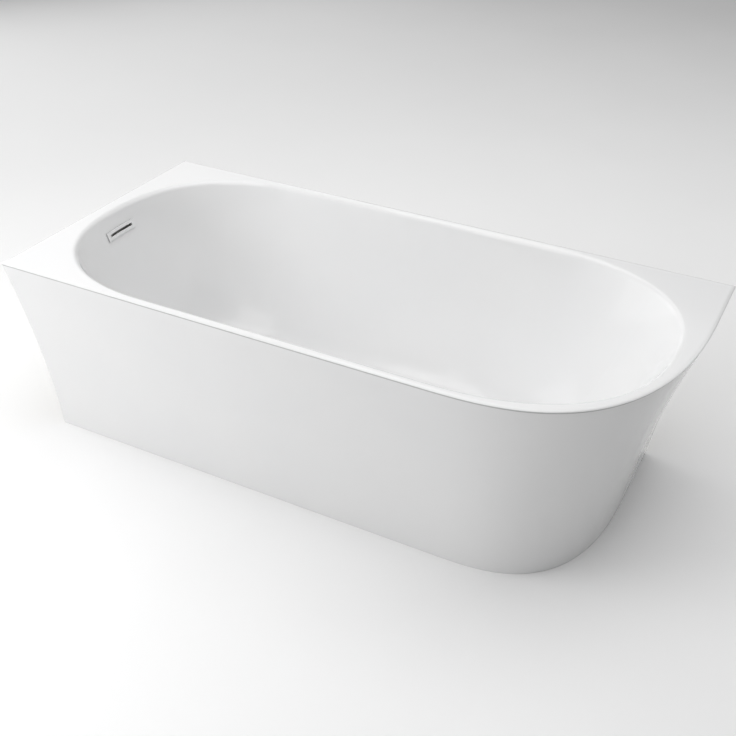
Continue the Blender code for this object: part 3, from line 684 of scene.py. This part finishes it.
def overflow_frame(along_wall):
    """Point on the end wall at a distance along it from the overflow's middle, up and normal."""
    turn = OVERFLOW_TURN - along_wall / (OPENING[1] - OPENING[2])
    step = 0.004
    side = (wall_spot(turn + step, OVERFLOW_Z) - wall_spot(turn - step, OVERFLOW_Z)).normalized()
    up = (wall_spot(turn, OVERFLOW_Z + step) - wall_spot(turn, OVERFLOW_Z - step)).normalized()
    normal = up.cross(side).normalized()
    return wall_spot(turn, OVERFLOW_Z), up, normal if normal.x > 0 else -normal


@functools.lru_cache(maxsize=None)
def overflow_frame_at(run):
    return overflow_frame(run)


def box_outline(width, height, corner):
    """Rounded rectangle about the origin, with points along its long sides so that it can bend."""
    half_w, half_h = width / 2, height / 2
    outline = rounded([(-half_w, -half_h), (half_w, -half_h), (half_w, half_h), (-half_w, half_h)],
                      corner, 4)
    made = []
    for (x0, y0), (x1, y1) in zip(outline, outline[1:] + outline[:1]):
        pieces = 24 if abs(x1 - x0) > width / 2 else 1
        made += [(x0 + (x1 - x0) * k / pieces, y0 + (y1 - y0) * k / pieces) for k in range(pieces)]
    return made


def shrink(outline, by):
    half_x = max(x for x, _ in outline)
    half_y = max(y for _, y in outline)
    return [(x * (half_x - by) / half_x, y * (half_y - by) / half_y) for x, y in outline]


def on_wall(levels):
    """Loops of (outline, distance off the wall) laid on the curved end wall."""
    loops = []
    for outline, off in levels:
        loop = []
        for x, y in outline:
            point, up, normal = overflow_frame_at(round(x, 5))
            loop.append(point + up * y + normal * off)
        loops.append(loop)
    return loops


def plate_side(outline, low, high, edge, grow=1):
    """Side of a plate, bevelled at the back and rounded at the front. A window's side has grow=-1."""
    return [(shrink(outline, grow * edge), low), (outline, low + edge), (outline, high - edge),
            (shrink(outline, grow * 0.3 * edge), high - 0.3 * edge), (shrink(outline, grow * edge), high)]


def curved_ring(size, hole, low, high, edge, corner):
    """Plate with a window, bent to the end wall, with rounded edges."""
    outer, inner = box_outline(*size, corner), box_outline(*hole, min(corner, 0.0012))
    window = plate_side(inner, low, high, edge, -1)
    return loft(on_wall(plate_side(outer, low, high, edge) + window[::-1]))


def curved_block(size, low, high, edge, corner):
    """Block without a window, bent to the end wall."""
    outer = box_outline(*size, corner)
    levels = plate_side(outer, low, high, edge)
    body = loft(on_wall(levels), closed_stack=False, end_faces=False)
    body.verts.ensure_lookup_table()

    def opposite(place):
        return min(range(len(outer)), key=lambda k: math.dist(outer[k], (outer[place][0],
                                                                         -outer[place][1])))

    for first in (0, len(body.verts) - len(outer)):
        for place in range(len(outer)):
            following = (place + 1) % len(outer)
            if outer[place][1] < 0 and outer[following][1] < 0:
                places = (place, following, opposite(following), opposite(place))
                body.faces.new([body.verts[first + k] for k in places])
    return body


def make_overflow():
    """Cover, its pegs, gasket and chamber. Returns the end of the chamber's spigot."""
    cover = curved_ring((COVER_WIDTH, COVER_HEIGHT), (SLOT_WIDTH, SLOT_HEIGHT), COVER_STANDOFF,
                        COVER_STANDOFF + COVER_PLATE, 0.0007, 0.002)
    around = len(box_outline(COVER_WIDTH, COVER_HEIGHT, 0.002))
    cover.verts.index_update()
    # Painted shade: the faces of the back bevel and the outer side take the darkened acrylic
    for face in cover.faces:
        if max(vert.index for vert in face.verts) < 3 * around:
            face.material_index = 1
    finish_piece("overflow_cover_plate", cover, "overflow_cover", (ACRYLIC, COVER_EDGE_SHADE))
    for side in (-1, 1):
        point, up, normal = overflow_frame(side * (SLOT_WIDTH / 2 - 0.0035))
        peg = rod(0.0018, 0, 0.0195, along(point - normal * 0.016 - up * 0.0082, normal), 16)
        finish_piece(f"overflow_cover_peg_{side + 2}", peg, "overflow_cover")
    behind = -SHELL_WALL - 4 * GAP
    gasket = curved_ring(CHAMBER_SIZE, WALL_HOLE, behind - 0.0025, behind, 0.0006, 0.006)
    finish_piece("overflow_gasket_ring", gasket, "overflow_gasket")
    face = behind - 0.0025 - GAP
    chamber = curved_block(CHAMBER_SIZE, face - CHAMBER_DEPTH, face, 0.0015, 0.007)
    point, up, normal = overflow_frame(0.0)
    spigot_top = point + normal * (face - 0.011) - up * 0.012
    down = along(spigot_top, (0, 0, -1))
    chamber = combine(chamber, rod(0.0090, 0, 0.040, down), "UNION")
    chamber = combine(chamber, curved_block(WALL_HOLE, face - CHAMBER_DEPTH + 0.003, face + 0.004, 0.001,
                                            0.003),
                      "DIFFERENCE")
    chamber = combine(chamber, rod(0.0070, -0.004, 0.044, down), "DIFFERENCE")
    finish_piece("overflow_chamber_moulding", chamber, "overflow_chamber")
    return spigot_top + Vector((0, 0, -0.040))


# Skirt

def flare(z):
    """Share of the skirt's spread, from 0 at the floor to 1 under the rim."""
    t = z / HEIGHT
    rise = FLARE_SIZE * (FLARE_LINEAR * t + FLARE_SQUARE * t * t)
    blend = min(max(0.5 + 0.5 * (1 - rise) / FLARE_SOFT, 0.0), 1.0)
    return (1 - blend) + rise * blend - FLARE_SOFT * blend * (1 - blend)


def skirt_point(station, z):
    """Point on the skirt's outer face: stations 0-1 front, 1-2 corner, 2-3 right end."""
    share = flare(z)
    centre_x = TOE_CORNER[0] + (RIM_CORNER[0] - TOE_CORNER[0]) * share
    centre_y = TOE_CORNER[1] + (RIM_CORNER[1] - TOE_CORNER[1]) * share
    power = TOE_POWER + (RIM_POWER - TOE_POWER) * share
    right = X_RIGHT - RIGHT_TOE_IN * (1 - share)
    front = Y_FRONT + FRONT_TOE_IN * (1 - share)
    if station <= 1:
        return Vector((X_LEFT + (centre_x - X_LEFT) * station, front, z))
    if station >= 2:
        return Vector((right, centre_y + (Y_BACK - centre_y) * (station - 2), z))
    turn = (station - 1) * math.pi / 2
    x = centre_x + (right - centre_x) * math.sin(turn) ** (2 / power)
    y = centre_y - (centre_y - front) * math.cos(turn) ** (2 / power)
    return Vector((x, y, z))


def skirt_spot(station, z, inset):
    """Point inside the skirt's outer face, at a distance square to it in plan."""
    step = 0.002
    run = skirt_point(min(station + step, 3), z) - skirt_point(max(station - step, 0), z)
    inward = Vector((-run.y, run.x, 0)).normalized()
    return skirt_point(station, z) + inward * inset


def corner_stations(count):
    """Stations round the corner, closer together towards its ends."""
    return [1 + 0.5 * (1 - math.cos(math.pi * i / count)) for i in range(count + 1)]


def make_skirt():
    top = HEIGHT - RIM_EDGE - GAP
    edge = 0.0009
    count = 44
    heights = [edge + (top - 0.0014 - edge) * i / count for i in range(count + 1)]
    stations = [0.0, 0.001] + [i / 16 for i in range(1, 16)]
    stations += corner_stations(90)
    stations += [2 + i / 8 for i in range(1, 8)] + [2.997, 3.0]
    loops = []
    for station in stations:
        section = [(edge, 0.0), (0.3 * edge, 0.3 * edge)] + [(0.0, z) for z in heights]
        section += [(0.0005, top - 0.0006), (0.0012, top - 0.0001), (0.0020, top)]
        outside = len(section)
        section += [(SKIRT_WALL - edge, top)]
        section += [(SKIRT_WALL, z) for z in heights[::-1]]
        section += [(SKIRT_WALL - edge, 0.0)]
        loop = []
        for k, (inset, z) in enumerate(section):
            spot = skirt_spot(station, z, inset)
            if k > outside + 2 and k < len(section) - 3 and 0.05 < station < 2.95:
                normal = (spot - skirt_point(station, z)).normalized()
                spot += normal * (SKIRT_LUMP * noise.noise(spot * SKIRT_LUMP_SCALE))
            loop.append(spot)
        loops.append(loop)
    slots = [0 if i < outside else 1 for i in range(len(loops[0]))]
    body = loft(loops, closed_stack=False, face_slots=slots)
    finish_piece("apron_surface", body, "apron_shell", (SKIRT_ACRYLIC_SEAM_SHADE, LAMINATE))


# Timber

def slab(outline, low, high, edge):
    """Flat board on a plan outline, with its edges eased."""
    centre = sum((Vector(p) for p in outline), Vector((0, 0))) / len(outline)

    def eased(by):
        made = []
        for x, y in outline:
            arm = Vector((x, y)) - centre
            made.append(centre + arm * (1 - by / arm.length))
        return made

    levels = [(edge, low), (0.3 * edge, low + 0.3 * edge), (0.0, low + edge), (0.0, high - edge),
              (0.3 * edge, high - 0.3 * edge), (edge, high)]
    return loft([[(*p, z) for p in eased(by)] for by, z in levels], closed_stack=False)


def make_timber():
    x_low, x_high, half_y, reach = -0.385, 0.385, 0.200, 0.09
    outline = []
    for i in range(33):
        turn = -math.pi / 2 + math.pi * i / 32
        outline.append((x_high - reach + reach * math.cos(turn), half_y * math.sin(turn)))
    outline += rounded([(x_high - reach, half_y), (x_low, half_y), (x_low, -half_y),
                        (x_high - reach, -half_y)],
                       0.004, 4, closed=False)[1:-1]
    finish_piece("base_board_panel", slab(outline, BOARD_TOP - BOARD_THICK, BOARD_TOP, 0.0008),
                 "base_board")
    top = HEIGHT - SHELL_WALL - GAP
    leg = 0.190
    corners = {"back_left": (-0.8430, 0.3937, 1, -1), "front_left": (-0.8430, -0.3855, 1, 1),
               "back_right": (0.8340, 0.3937, -1, -1)}
    for name, (x, y, to_x, to_y) in corners.items():
        outline = rounded([(x, y), (x + to_x * leg, y), (x, y + to_y * leg)], 0.0015, 3)
        finish_piece(f"{name}_rim_pad_board", slab(outline, top - 0.018, top, 0.0008), f"{name}_rim_pad")
    inner, outer = SKIRT_WALL + GAP + 0.0035, BATTEN_OUT
    edge = 0.0008
    section = [(inner + edge, 0.004), (inner, 0.004 + edge), (inner, 0.030 - edge), (inner + edge, 0.030),
               (outer - edge, 0.030), (outer, 0.030 - edge), (outer, 0.004 + edge), (outer - edge, 0.004)]
    stations = [0.02 + 0.98 * i / 12 for i in range(12)]
    stations += corner_stations(60)
    stations += [2 + 0.96 * i / 8 for i in range(1, 9)]
    batten = loft([[skirt_spot(st, z, inset) for inset, z in section] for st in stations],
                  closed_stack=False)
    finish_piece("apron_batten_strip", batten, "apron_floor_batten")


# Steel

def screw(length):
    """Pan-head wood screw with a cross recess. Its head's seat is at z = 0 and its head is below."""
    profile = [(0, -0.0031), (0.0022, -0.0030), (0.0036, -0.0026), (0.0046, -0.0015), (0.0050, -0.0004),
               (0.0049, 0.0), (0.0023, 0.0), (0.0023, length), (0, length + 0.0005)]
    arm, half = 0.0022, 0.0005
    cross = [(half, half), (arm, half), (arm, -half), (half, -half), (half, -arm), (-half, -arm),
             (-half, -half), (-arm, -half), (-arm, half), (-half, half), (-half, arm), (half, arm)]
    tool = loft([[(x, y, z) for x, y in cross] for z in (-0.005, -0.0014)], closed_stack=False)
    return combine(turned(profile, 32), tool, "DIFFERENCE")


def place_screw(name, node, length, place):
    body = screw(length)
    bmesh.ops.transform(body, matrix=place, verts=body.verts)
    finish_piece(name, body, node)


def weld_nut(x, y, web):
    """Hexagon nut under the rail's web, with its bore left open, and the weld bead round it."""
    place = Matrix.Translation((x, y, 0))
    low, high = web - WELD_NUT_HEIGHT, web
    bore, corner = NUT_BORE, NUT_CORNER
    nut = turned([(bore + 0.0007, low), (0.0096, low), (hexagon(corner, 0.0104), low + 0.0004),
                  (hexagon(corner), low + 0.0011), (hexagon(corner), high), (bore, high),
                  (bore, low + 0.0007)],
                 48, place)

    def bead(reach, ripple):
        shape = hexagon(corner)
        return lambda turn: shape(turn) + reach + ripple * math.sin(23 * turn)

    weld = turned([(hexagon(0.0106), high), (bead(0.0030, 0.0004), high),
                   (bead(0.0022, 0.0004), high - 0.0012),
                   (bead(0.0009, 0.0003), high - 0.0026), (hexagon(0.0106), high - 0.0031)], 96, place)
    return nut, weld


def make_rail(side, x):
    half, wall = RAIL_HALF, RAIL_WALL
    top, bottom = RAIL_TOP, RAIL_TOP - RAIL_HEIGHT
    web = top - wall
    node = f"{side}_rail"
    cut, bend, inside = 0.0004, 0.0042, 0.0017
    section = rounded([(-half, bottom), (-half, top), (half, top), (half, bottom), (half - wall, bottom),
                       (half - wall, web), (wall - half, web), (wall - half, bottom)],
                      [cut, bend, bend, cut, cut, inside, inside, cut], 5)
    ends = [[(x + a, y, z) for a, z in section] for y in (-RAIL_HALF_Y, RAIL_HALF_Y)]
    channel = loft(ends, closed_stack=False)
    for y in (-FOOT_Y, FOOT_Y):
        channel = combine(channel, rod(0.0068, web - 0.004, top + 0.01, Matrix.Translation((x, y, 0))),
                          "DIFFERENCE")
    finish_piece(f"{side}_rail_channel", channel, node)
    for end, y in (("front", -FOOT_Y), ("back", FOOT_Y)):
        nut, weld = weld_nut(x, y, web)
        finish_piece(f"{side}_{end}_weld_nut", nut, node)
        finish_piece(f"{side}_{end}_weld_bead", weld, node)
    face = Y_FRONT + FRONT_TOE_IN + BATTEN_OUT
    outline = rounded([(-0.014, 0.012), (0.014, 0.012), (0.014, web + 0.0005), (-0.014, web + 0.0005)],
                      [0.004, 0.004, 0.0, 0.0], 5)
    edge = 0.0004
    levels = ((face + 0.0036, edge), (face + 0.0036 + edge, 0), (face + 0.0064 - edge, 0),
              (face + 0.0064, edge))
    tab = loft([[(x + a * (1 - by / 0.014), y, z + (by if z < 0.05 else -by)) for a, z in outline]
                for y, by in levels], closed_stack=False)
    place = along((x, face + 0.0064 + GAP, 0.020), (0, -1, 0))
    tab = combine(tab, rod(0.0028, -0.01, 0.010, place), "DIFFERENCE")
    finish_piece(f"{side}_rail_tab", tab, node)
    place_screw(f"{side}_batten_screw_head", f"{side}_batten_screw", 0.0150, place)
    for end, y in (("front", -0.13), ("back", 0.13)):
        place = Matrix.Translation((x, y, web - GAP))
        place_screw(f"{side}_{end}_board_screw_head", f"{side}_{end}_board_screw", 0.0118, place)


def make_foot(name, x, y):
    place = Matrix.Translation((x, y, 0))

    def gusset(base, depth):
        return lambda turn: base + depth * max(0.0, math.cos(12 * turn)) ** 6

    pad = [(0, 0.0008), (0.0180, 0.0008), (0.0188, 0.0), (0.0232, 0.0), (0.0245, 0.0004), (0.0250, 0.0016),
           (0.0250, 0.0040), (0.0246, 0.0046), (0.0240, 0.0049), (gusset(0.0205, 0.0022), 0.0056),
           (gusset(0.0160, 0.0045), 0.0072), (gusset(0.0134, 0.0040), 0.0092),
           (gusset(0.0131, 0.0022), 0.0115),
           (0.0130, 0.0140), (0.0127, 0.0147), (0.0120, 0.0150), (0.0070, 0.0150), (0.0066, 0.0146),
           (0.0066, 0.0050), (0, 0.0050)]
    finish_piece(f"{name}_foot_pad_moulding", turned(pad, 96, place), f"{name}_foot_pad",
                 rides=f"{name}_pad")
    top = RAIL_TOP + 0.0055

    def threaded(z, stop):
        made = []
        while z < stop:
            made.append((thread(THREAD_CORE, THREAD_DEPTH, THREAD_PITCH, z), z))
            z += THREAD_PITCH / THREAD_STEPS
        return made

    rings = [(0, 0.0053), (0.0046, 0.0053), (0.0052, 0.0060)] + threaded(0.0065, 0.0150)
    rings += [(0.0058, 0.0153), (0.0088, 0.0153), (hexagon(0.0095, 0.0092), 0.0157),
              (hexagon(0.0095), 0.0163),
              (hexagon(0.0095), 0.0203), (hexagon(0.0095, 0.0092), 0.0209), (0.0088, 0.0213),
              (0.0056, 0.0213)]
    rings += threaded(0.0218, top - 0.0016) + [(0.0050, top - 0.0010), (0.0042, top), (0, top)]
    finish_piece(f"{name}_foot_stud_thread", turned(rings, 36, place), f"{name}_foot_stud",
                 rides=f"{name}_stud", sharp=50.0)
    high = RAIL_TOP - RAIL_WALL - WELD_NUT_HEIGHT - GAP
    low = high - 0.006
    bore, corner = NUT_BORE, NUT_CORNER
    nut = [(bore + 0.0006, low), (0.0095, low), (hexagon(corner, 0.0103), low + 0.0004),
           (hexagon(corner), low + 0.0010), (hexagon(corner), high - 0.0010),
           (hexagon(corner, 0.0103), high - 0.0004), (0.0095, high), (bore + 0.0006, high),
           (bore, high - 0.0006), (bore, low + 0.0006)]
    finish_piece(f"{name}_lock_nut_hexagon", turned(nut, 48, place), f"{name}_lock_nut")


def make_wall_bracket(name, place):
    """Pressed hook. place turns a run along the wall, a distance off it and a height into a point."""
    plate, half, corner = 0.002, 0.030, 0.006
    shelf, tongue, low, high = LIP_BOTTOM - GAP, LIP_INSIDE + GAP, 0.470, 0.558
    bend = 0.0009
    section = rounded([(0.0, low), (0.0, shelf), (tongue, shelf), (tongue, high), (tongue + plate, high),
                       (tongue + plate, shelf - plate), (plate, shelf - plate), (plate, low)],
                      [0.0003, bend, bend, 0.0003, 0.0003, 0.0026, bend, 0.0003], 4)

    def column(run):
        past = abs(run) - (half - corner)
        cut = corner - math.sqrt(max(corner ** 2 - max(past, 0.0) ** 2, 0.0))
        return [place(run, off, max(min(z, high - 0.5 * cut), low + cut)) for off, z in section]

    runs = [-half + corner * (1 - math.cos(math.pi / 2 * i / 6)) for i in range(7)]
    bracket = loft([column(run) for run in runs + [-run for run in runs[::-1]]], closed_stack=False)
    middle = Vector(place(0, 0, 0.500))
    out = middle - Vector(place(0, 1, 0.500))
    bracket = combine(bracket, rod(0.0035, -0.01, 0.01, along(middle, out)), "DIFFERENCE")
    finish_piece(f"{name}_wall_bracket_pressing", bracket, f"{name}_wall_bracket")


def make_steel():
    for side, x in RAIL_X:
        make_rail(side, x)
        make_foot(f"{side}_front", x, -FOOT_Y)
        make_foot(f"{side}_back", x, FOOT_Y)
    for name, x in (("back_left", -0.700), ("back_right", 0.690)):
        make_wall_bracket(name, lambda run, off, z, x=x: (x + run, Y_BACK - off, z))
    make_wall_bracket("left", lambda run, off, z: (X_LEFT + off, 0.280 + run, z))


# Waste, plug, trap and overflow hose

def ribbed_nut(bore, outer, low, high, count, place):
    """Union nut with grip ribs and a chamfered collar at each end."""
    lip = 0.0016
    profile = [(bore + 0.0004, low), (outer - 0.0012, low), (outer - 0.0004, low + 0.0004),
               (outer - 0.0004, low + lip), (ribs(outer - 0.0016, 0.0014, count), low + lip + 0.0006),
               (ribs(outer - 0.0016, 0.0016, count), low + lip + 0.0014),
               (ribs(outer - 0.0016, 0.0016, count), high - 0.0022),
               (ribs(outer - 0.0018, 0.0008, count), high - 0.0008), (outer - 0.0026, high),
               (bore + 0.0004, high), (bore, high - 0.0005), (bore, low + 0.0005)]
    return turned(profile, count * 8, place)


def make_waste():
    """Flange, plug, seals and waste body. Returns the end of its overflow port."""
    place = Matrix.Translation((*WASTE, 0))
    seat = FLOOR_Z + 0.0013
    flange = [(0.0349, seat), (0.0350, seat + 0.0003), (0.0350, seat + 0.0010), (0.0347, seat + 0.0018),
              (0.0340, seat + 0.0025), (0.0330, seat + 0.0028), (0.0306, seat + 0.0028),
              (0.0298, seat + 0.0025),
              (0.0216, seat - 0.0036), (0.0211, seat - 0.0044), (0.0210, seat - 0.0056), (0.0210, 0.1063),
              (0.0213, 0.1060), (0.0237, 0.1060), (0.0240, 0.1063), (0.0240, seat)]
    finish_piece("waste_flange_pressing", turned(flange, 96, place), "waste_flange")

    def washer(reach, low, high, ease):
        return turned([(0.0262, low), (reach - 0.0004, low), (reach, low + ease), (reach, high - ease),
                       (reach - 0.0004, high), (0.0262, high)], 64, place)

    seal = washer(0.0330, FLOOR_Z + GAP, seat - GAP, 0.0005 - GAP)
    finish_piece("waste_seal_ring", seal, "waste_seal")
    under = FLOOR_Z - SHELL_WALL
    gasket = washer(0.0360, under - GAP - 0.003, under - GAP, 0.0005)
    finish_piece("waste_gasket_ring", gasket, "waste_gasket")
    cap_low = seat + 0.0028 + GAP
    cap = [(0, cap_low), (0.0290, cap_low), (0.0300, cap_low + 0.0003), (0.0305, cap_low + 0.0010),
           (0.0304, cap_low + 0.0016), (0.0300, cap_low + 0.0022), (0.0290, cap_low + 0.0029)]
    for i in range(1, 9):
        r = 0.0290 * (1 - i / 9)
        cap.append((r, cap_low + 0.0029 + 0.0027 * (1 - (r / 0.0290) ** 2)))
    cap.append((0, cap_low + 0.0056))
    finish_piece("plug_cap_dome", turned(cap, 96, place), "plug_cap", rides="plug")
    stem = [(0, cap_low - GAP), (0.0050, cap_low - GAP), (0.0050, 0.1420), (0.0044, 0.1415),
            (0.0044, 0.1400),
            (0.0050, 0.1395), (0.0050, 0.1304), (0.0046, 0.1300), (0, 0.1300)]
    finish_piece("plug_stem_turning", turned(stem, 32, place), "plug_stem", rides="plug")
    top = under - 2 * GAP - 0.003
    body = [(0.0246, top), (0.0376, top), (0.0380, top - 0.0004), (ribs(0.0372, 0.0008, 20), top - 0.0012),
            (ribs(0.0372, 0.0008, 20), top - 0.0034), (0.0370, top - 0.0040), (0.0312, top - 0.0056),
            (0.0302, top - 0.0066), (0.0300, top - 0.0080), (0.0300, 0.1016), (0.0297, 0.1008),
            (0.0243, 0.0976), (0.0236, 0.0968), (0.0235, 0.0960), (0.0235, 0.0844), (0.0231, 0.0840),
            (0.0200, 0.0840), (0.0200, 0.0960), (0.0246, 0.1000)]
    body = turned(body, 160, place)
    port = Vector((WASTE[0] - 0.020, 0, 0.1180))
    body = branch(body, along(port, (-1, 0, 0)), (0.0090, 0.0055, 0.045), (0.0070, 0.0, 0.050))
    finish_piece("waste_body_moulding", body, "waste_body")
    return port - Vector((0.045, 0, 0))


def make_trap():
    place = Matrix.Translation((*WASTE, 0))
    finish_piece("trap_inlet_nut_ribbed", ribbed_nut(0.0239, 0.0320, 0.0720, 0.0920, 28, place),
                 "trap_inlet_nut")
    shell = [(0.0235, 0.0837), (0.0235, 0.0722), (0.0240, 0.0714), (0.0386, 0.0684), (0.0396, 0.0678),
             (0.0400, 0.0668), (0.0400, 0.0420), (0.0404, 0.0414), (0.0404, 0.0396), (0.0400, 0.0390),
             (0.0400, 0.0312), (0.0398, 0.0310), (0.0370, 0.0310), (0.0370, 0.0655), (0.0195, 0.0680),
             (0.0195, 0.0200), (0.0165, 0.0200), (0.0165, 0.0837)]
    body = turned(shell, 96, place)
    outlet = along((WASTE[0], 0, 0.0490), (0, 1, 0))
    body = branch(body, outlet, (0.0155, 0.0340, 0.0620), (0.0130, 0.0260, 0.0700), 48)
    finish_piece("trap_body_moulding", body, "trap_body")
    cup = [(0, 0.0092), (0.0060, 0.0092), (0.0066, 0.0080), (0.0350, 0.0080), (0.0368, 0.0084),
           (ribs(0.0372, 0.0010, 32), 0.0096), (ribs(0.0386, 0.0013, 32), 0.0118),
           (ribs(0.0386, 0.0014, 32), 0.0240), (ribs(0.0390, 0.0008, 32), 0.0256), (0.0400, 0.0264),
           (0.0400, 0.0303), (0.0396, 0.0307), (0.0370, 0.0307), (0.0370, 0.0130), (0.0340, 0.0105),
           (0, 0.0105)]
    finish_piece("trap_cup_ribbed", turned(cup, 256, place), "trap_cup")
    finish_piece("trap_outlet_nut_ribbed", ribbed_nut(0.0159, 0.0225, 0.0500, 0.0720, 22, outlet),
                 "trap_outlet_nut")
    pipe = [(0.0130, 0.0623), (0.0155, 0.0623), (0.0155, 0.3692), (0.0150, 0.3700), (0.0134, 0.3700),
            (0.0130, 0.3696)]
    finish_piece("outlet_pipe_run", turned(pipe, 64, outlet), "outlet_pipe")


def make_hose(start, end):
    """Corrugated hose on one smooth curve between its two fittings."""
    down, across = Vector((0, 0, -1)), Vector((1, 0, 0))
    first, last = start + down * (GAP + 0.0005), end - across * (GAP + 0.0005)
    controls = (first, first + down * HOSE_HANDLE, last - across * HOSE_HANDLE, last)
    fine = 400
    line = [bezier(controls, i / fine) for i in range(fine + 1)]
    lengths = [0.0]
    for a, b in zip(line, line[1:]):
        lengths.append(lengths[-1] + (b - a).length)
    whole = lengths[-1]
    steps = 6
    count = round(whole / HOSE_PITCH) * steps
    loops = []
    cursor = 0
    for i in range(count + 1):
        run = whole * i / count
        while cursor < fine - 1 and lengths[cursor + 1] < run:
            cursor += 1
        share = (run - lengths[cursor]) / (lengths[cursor + 1] - lengths[cursor])
        point = line[cursor].lerp(line[cursor + 1], min(max(share, 0.0), 1.0))
        ahead = (line[min(cursor + 3, fine)] - line[max(cursor - 2, 0)]).normalized()
        side = ahead.cross(Vector((0, 1, 0))).normalized()
        other = ahead.cross(side).normalized()
        wave = 0.5 - 0.5 * math.cos(math.tau * i / steps)
        plain = min(run, whole - run) < 0.008
        radius = 0.0093 if plain else 0.0082 + 0.0013 * wave ** 0.7
        loops.append([point + radius * (math.cos(a) * side + math.sin(a) * other)
                      for a in spread(0.0, math.tau, 28)])
    finish_piece("overflow_hose_corrugated", loft(loops, closed_stack=False), "overflow_hose",
                 sharp=60.0)
    for name, point, direction in (("upper", start, down), ("lower", end, -across)):
        nut = ribbed_nut(0.0100, 0.0138, -0.009, 0.009, 18, along(point, direction))
        finish_piece(f"hose_{name}_nut_ribbed", nut, f"hose_{name}_nut")


make_basin_shell()
make_skirt()
make_timber()
make_steel()
hose_start = make_overflow()
hose_end = make_waste()
make_trap()
make_hose(hose_start, hose_end)


# plug_cartridge is not drawn again: its CAD node stays in view, with the plain CAD material.


# Studio. The camera and the lights' powers were fitted to the photo.

FLOOR_REACH, WORLD_STRENGTH, FAR_LIGHT = 40.0, 0.2, 4.0
CAMERA_YAW, CAMERA_PITCH, CAMERA_ROLL = -26.945, 32.992, 0.951
CAMERA_LENS, CAMERA_PLACE = 51.604, (1.0926, -2.1255, 1.8499)


def add_light(name, place, aim, size, power, mirrored=True):
    """Area light. One that isn't mirrored lights the object without showing in its gloss."""
    data = bpy.data.lights.new(name, "AREA")
    data.shape = "RECTANGLE"
    data.size, data.size_y = size
    data.energy = power
    lamp = put(name, data)
    lamp.location = place
    lamp.rotation_mode = "QUATERNION"
    lamp.rotation_quaternion = (Vector(place) - Vector(aim)).to_track_quat("Z", "Y")
    lamp.visible_glossy = mirrored


def make_studio():
    body = bmesh.new()
    bmesh.ops.create_grid(body, x_segments=8, y_segments=8, size=FLOOR_REACH)
    floor = put_mesh("studio_floor", body)
    floor.data.materials.append(patchy_material(
        "studio_floor", (0.90, 0.90, 0.90), 0.75, 0.0, (1.6, 3.0),
        [(0.3, (0.895, 0.895, 0.895)), (0.7, (0.905, 0.905, 0.905))], (0.70, 0.80)))
    world = bpy.data.worlds.new("studio")
    world.use_nodes = True
    background = world.node_tree.nodes["Background"].inputs
    background["Color"].default_value = (1.0, 1.0, 1.0, 1.0)
    background["Strength"].default_value = WORLD_STRENGTH
    bpy.context.scene.world = world
    middle = (0.0, 0.0, 0.3)
    for name, azimuth, elevation, power in (("far_left", -45, 15, 8.8), ("far_front", 0, 45, 31.8),
                                            ("far_back_right", 135, 45, 20.0)):
        turn, lift = math.radians(azimuth), math.radians(elevation)
        arm = Vector((math.sin(turn) * math.cos(lift), -math.cos(turn) * math.cos(lift), math.sin(lift)))
        add_light(name, Vector(middle) + FAR_LIGHT * arm, middle, (2.6, 2.6), power)
    add_light("top", (0.0, -0.0593, 3.6995), middle, (3.0, 3.0), 49.6)
    add_light("top_back", (0.5, 4.2, 4.2), (0.5, 4.19, 0.0), (7.0, 5.0), 60.8)
    add_light("wall_back_left", (-3.8, 3.6, 2.2), (0.0, 0.0, 0.4), (4.0, 3.0), 25.1)
    add_light("wall_left", (-4.5, 0.0, 1.8), (0.0, 0.0, 0.5), (5.0, 3.0), 56.9)
    near = (-0.5, -0.3, 0.4)
    add_light("near_left_low", (-2.0, -1.9, 0.9), near, (1.4, 1.6), 5.5, mirrored=False)
    add_light("near_left_high", (-1.9, -1.6, 1.9), near, (1.6, 1.6), 24.8, mirrored=False)


def make_camera():
    """Camera at three-quarter height, in front and to the right of the bath."""
    yaw, pitch, roll = (math.radians(a) for a in (CAMERA_YAW, CAMERA_PITCH, CAMERA_ROLL))
    forward = Vector((math.sin(yaw) * math.cos(pitch), math.cos(yaw) * math.cos(pitch), -math.sin(pitch)))
    level = Vector((math.cos(yaw), -math.sin(yaw), 0.0))
    upright = level.cross(forward)
    right = math.cos(roll) * level + math.sin(roll) * upright
    up = -math.sin(roll) * level + math.cos(roll) * upright
    data = bpy.data.cameras.new("camera")
    data.sensor_width = 36.0
    data.lens = CAMERA_LENS
    data.clip_start, data.clip_end = 0.05, 200.0
    camera = put("camera", data)
    axes = Matrix((right, up, -forward)).transposed().to_4x4()
    camera.matrix_world = Matrix.Translation(CAMERA_PLACE) @ axes
    bpy.context.scene.camera = camera


make_studio()
make_camera()
bpy.context.scene.view_settings.view_transform = "Standard"
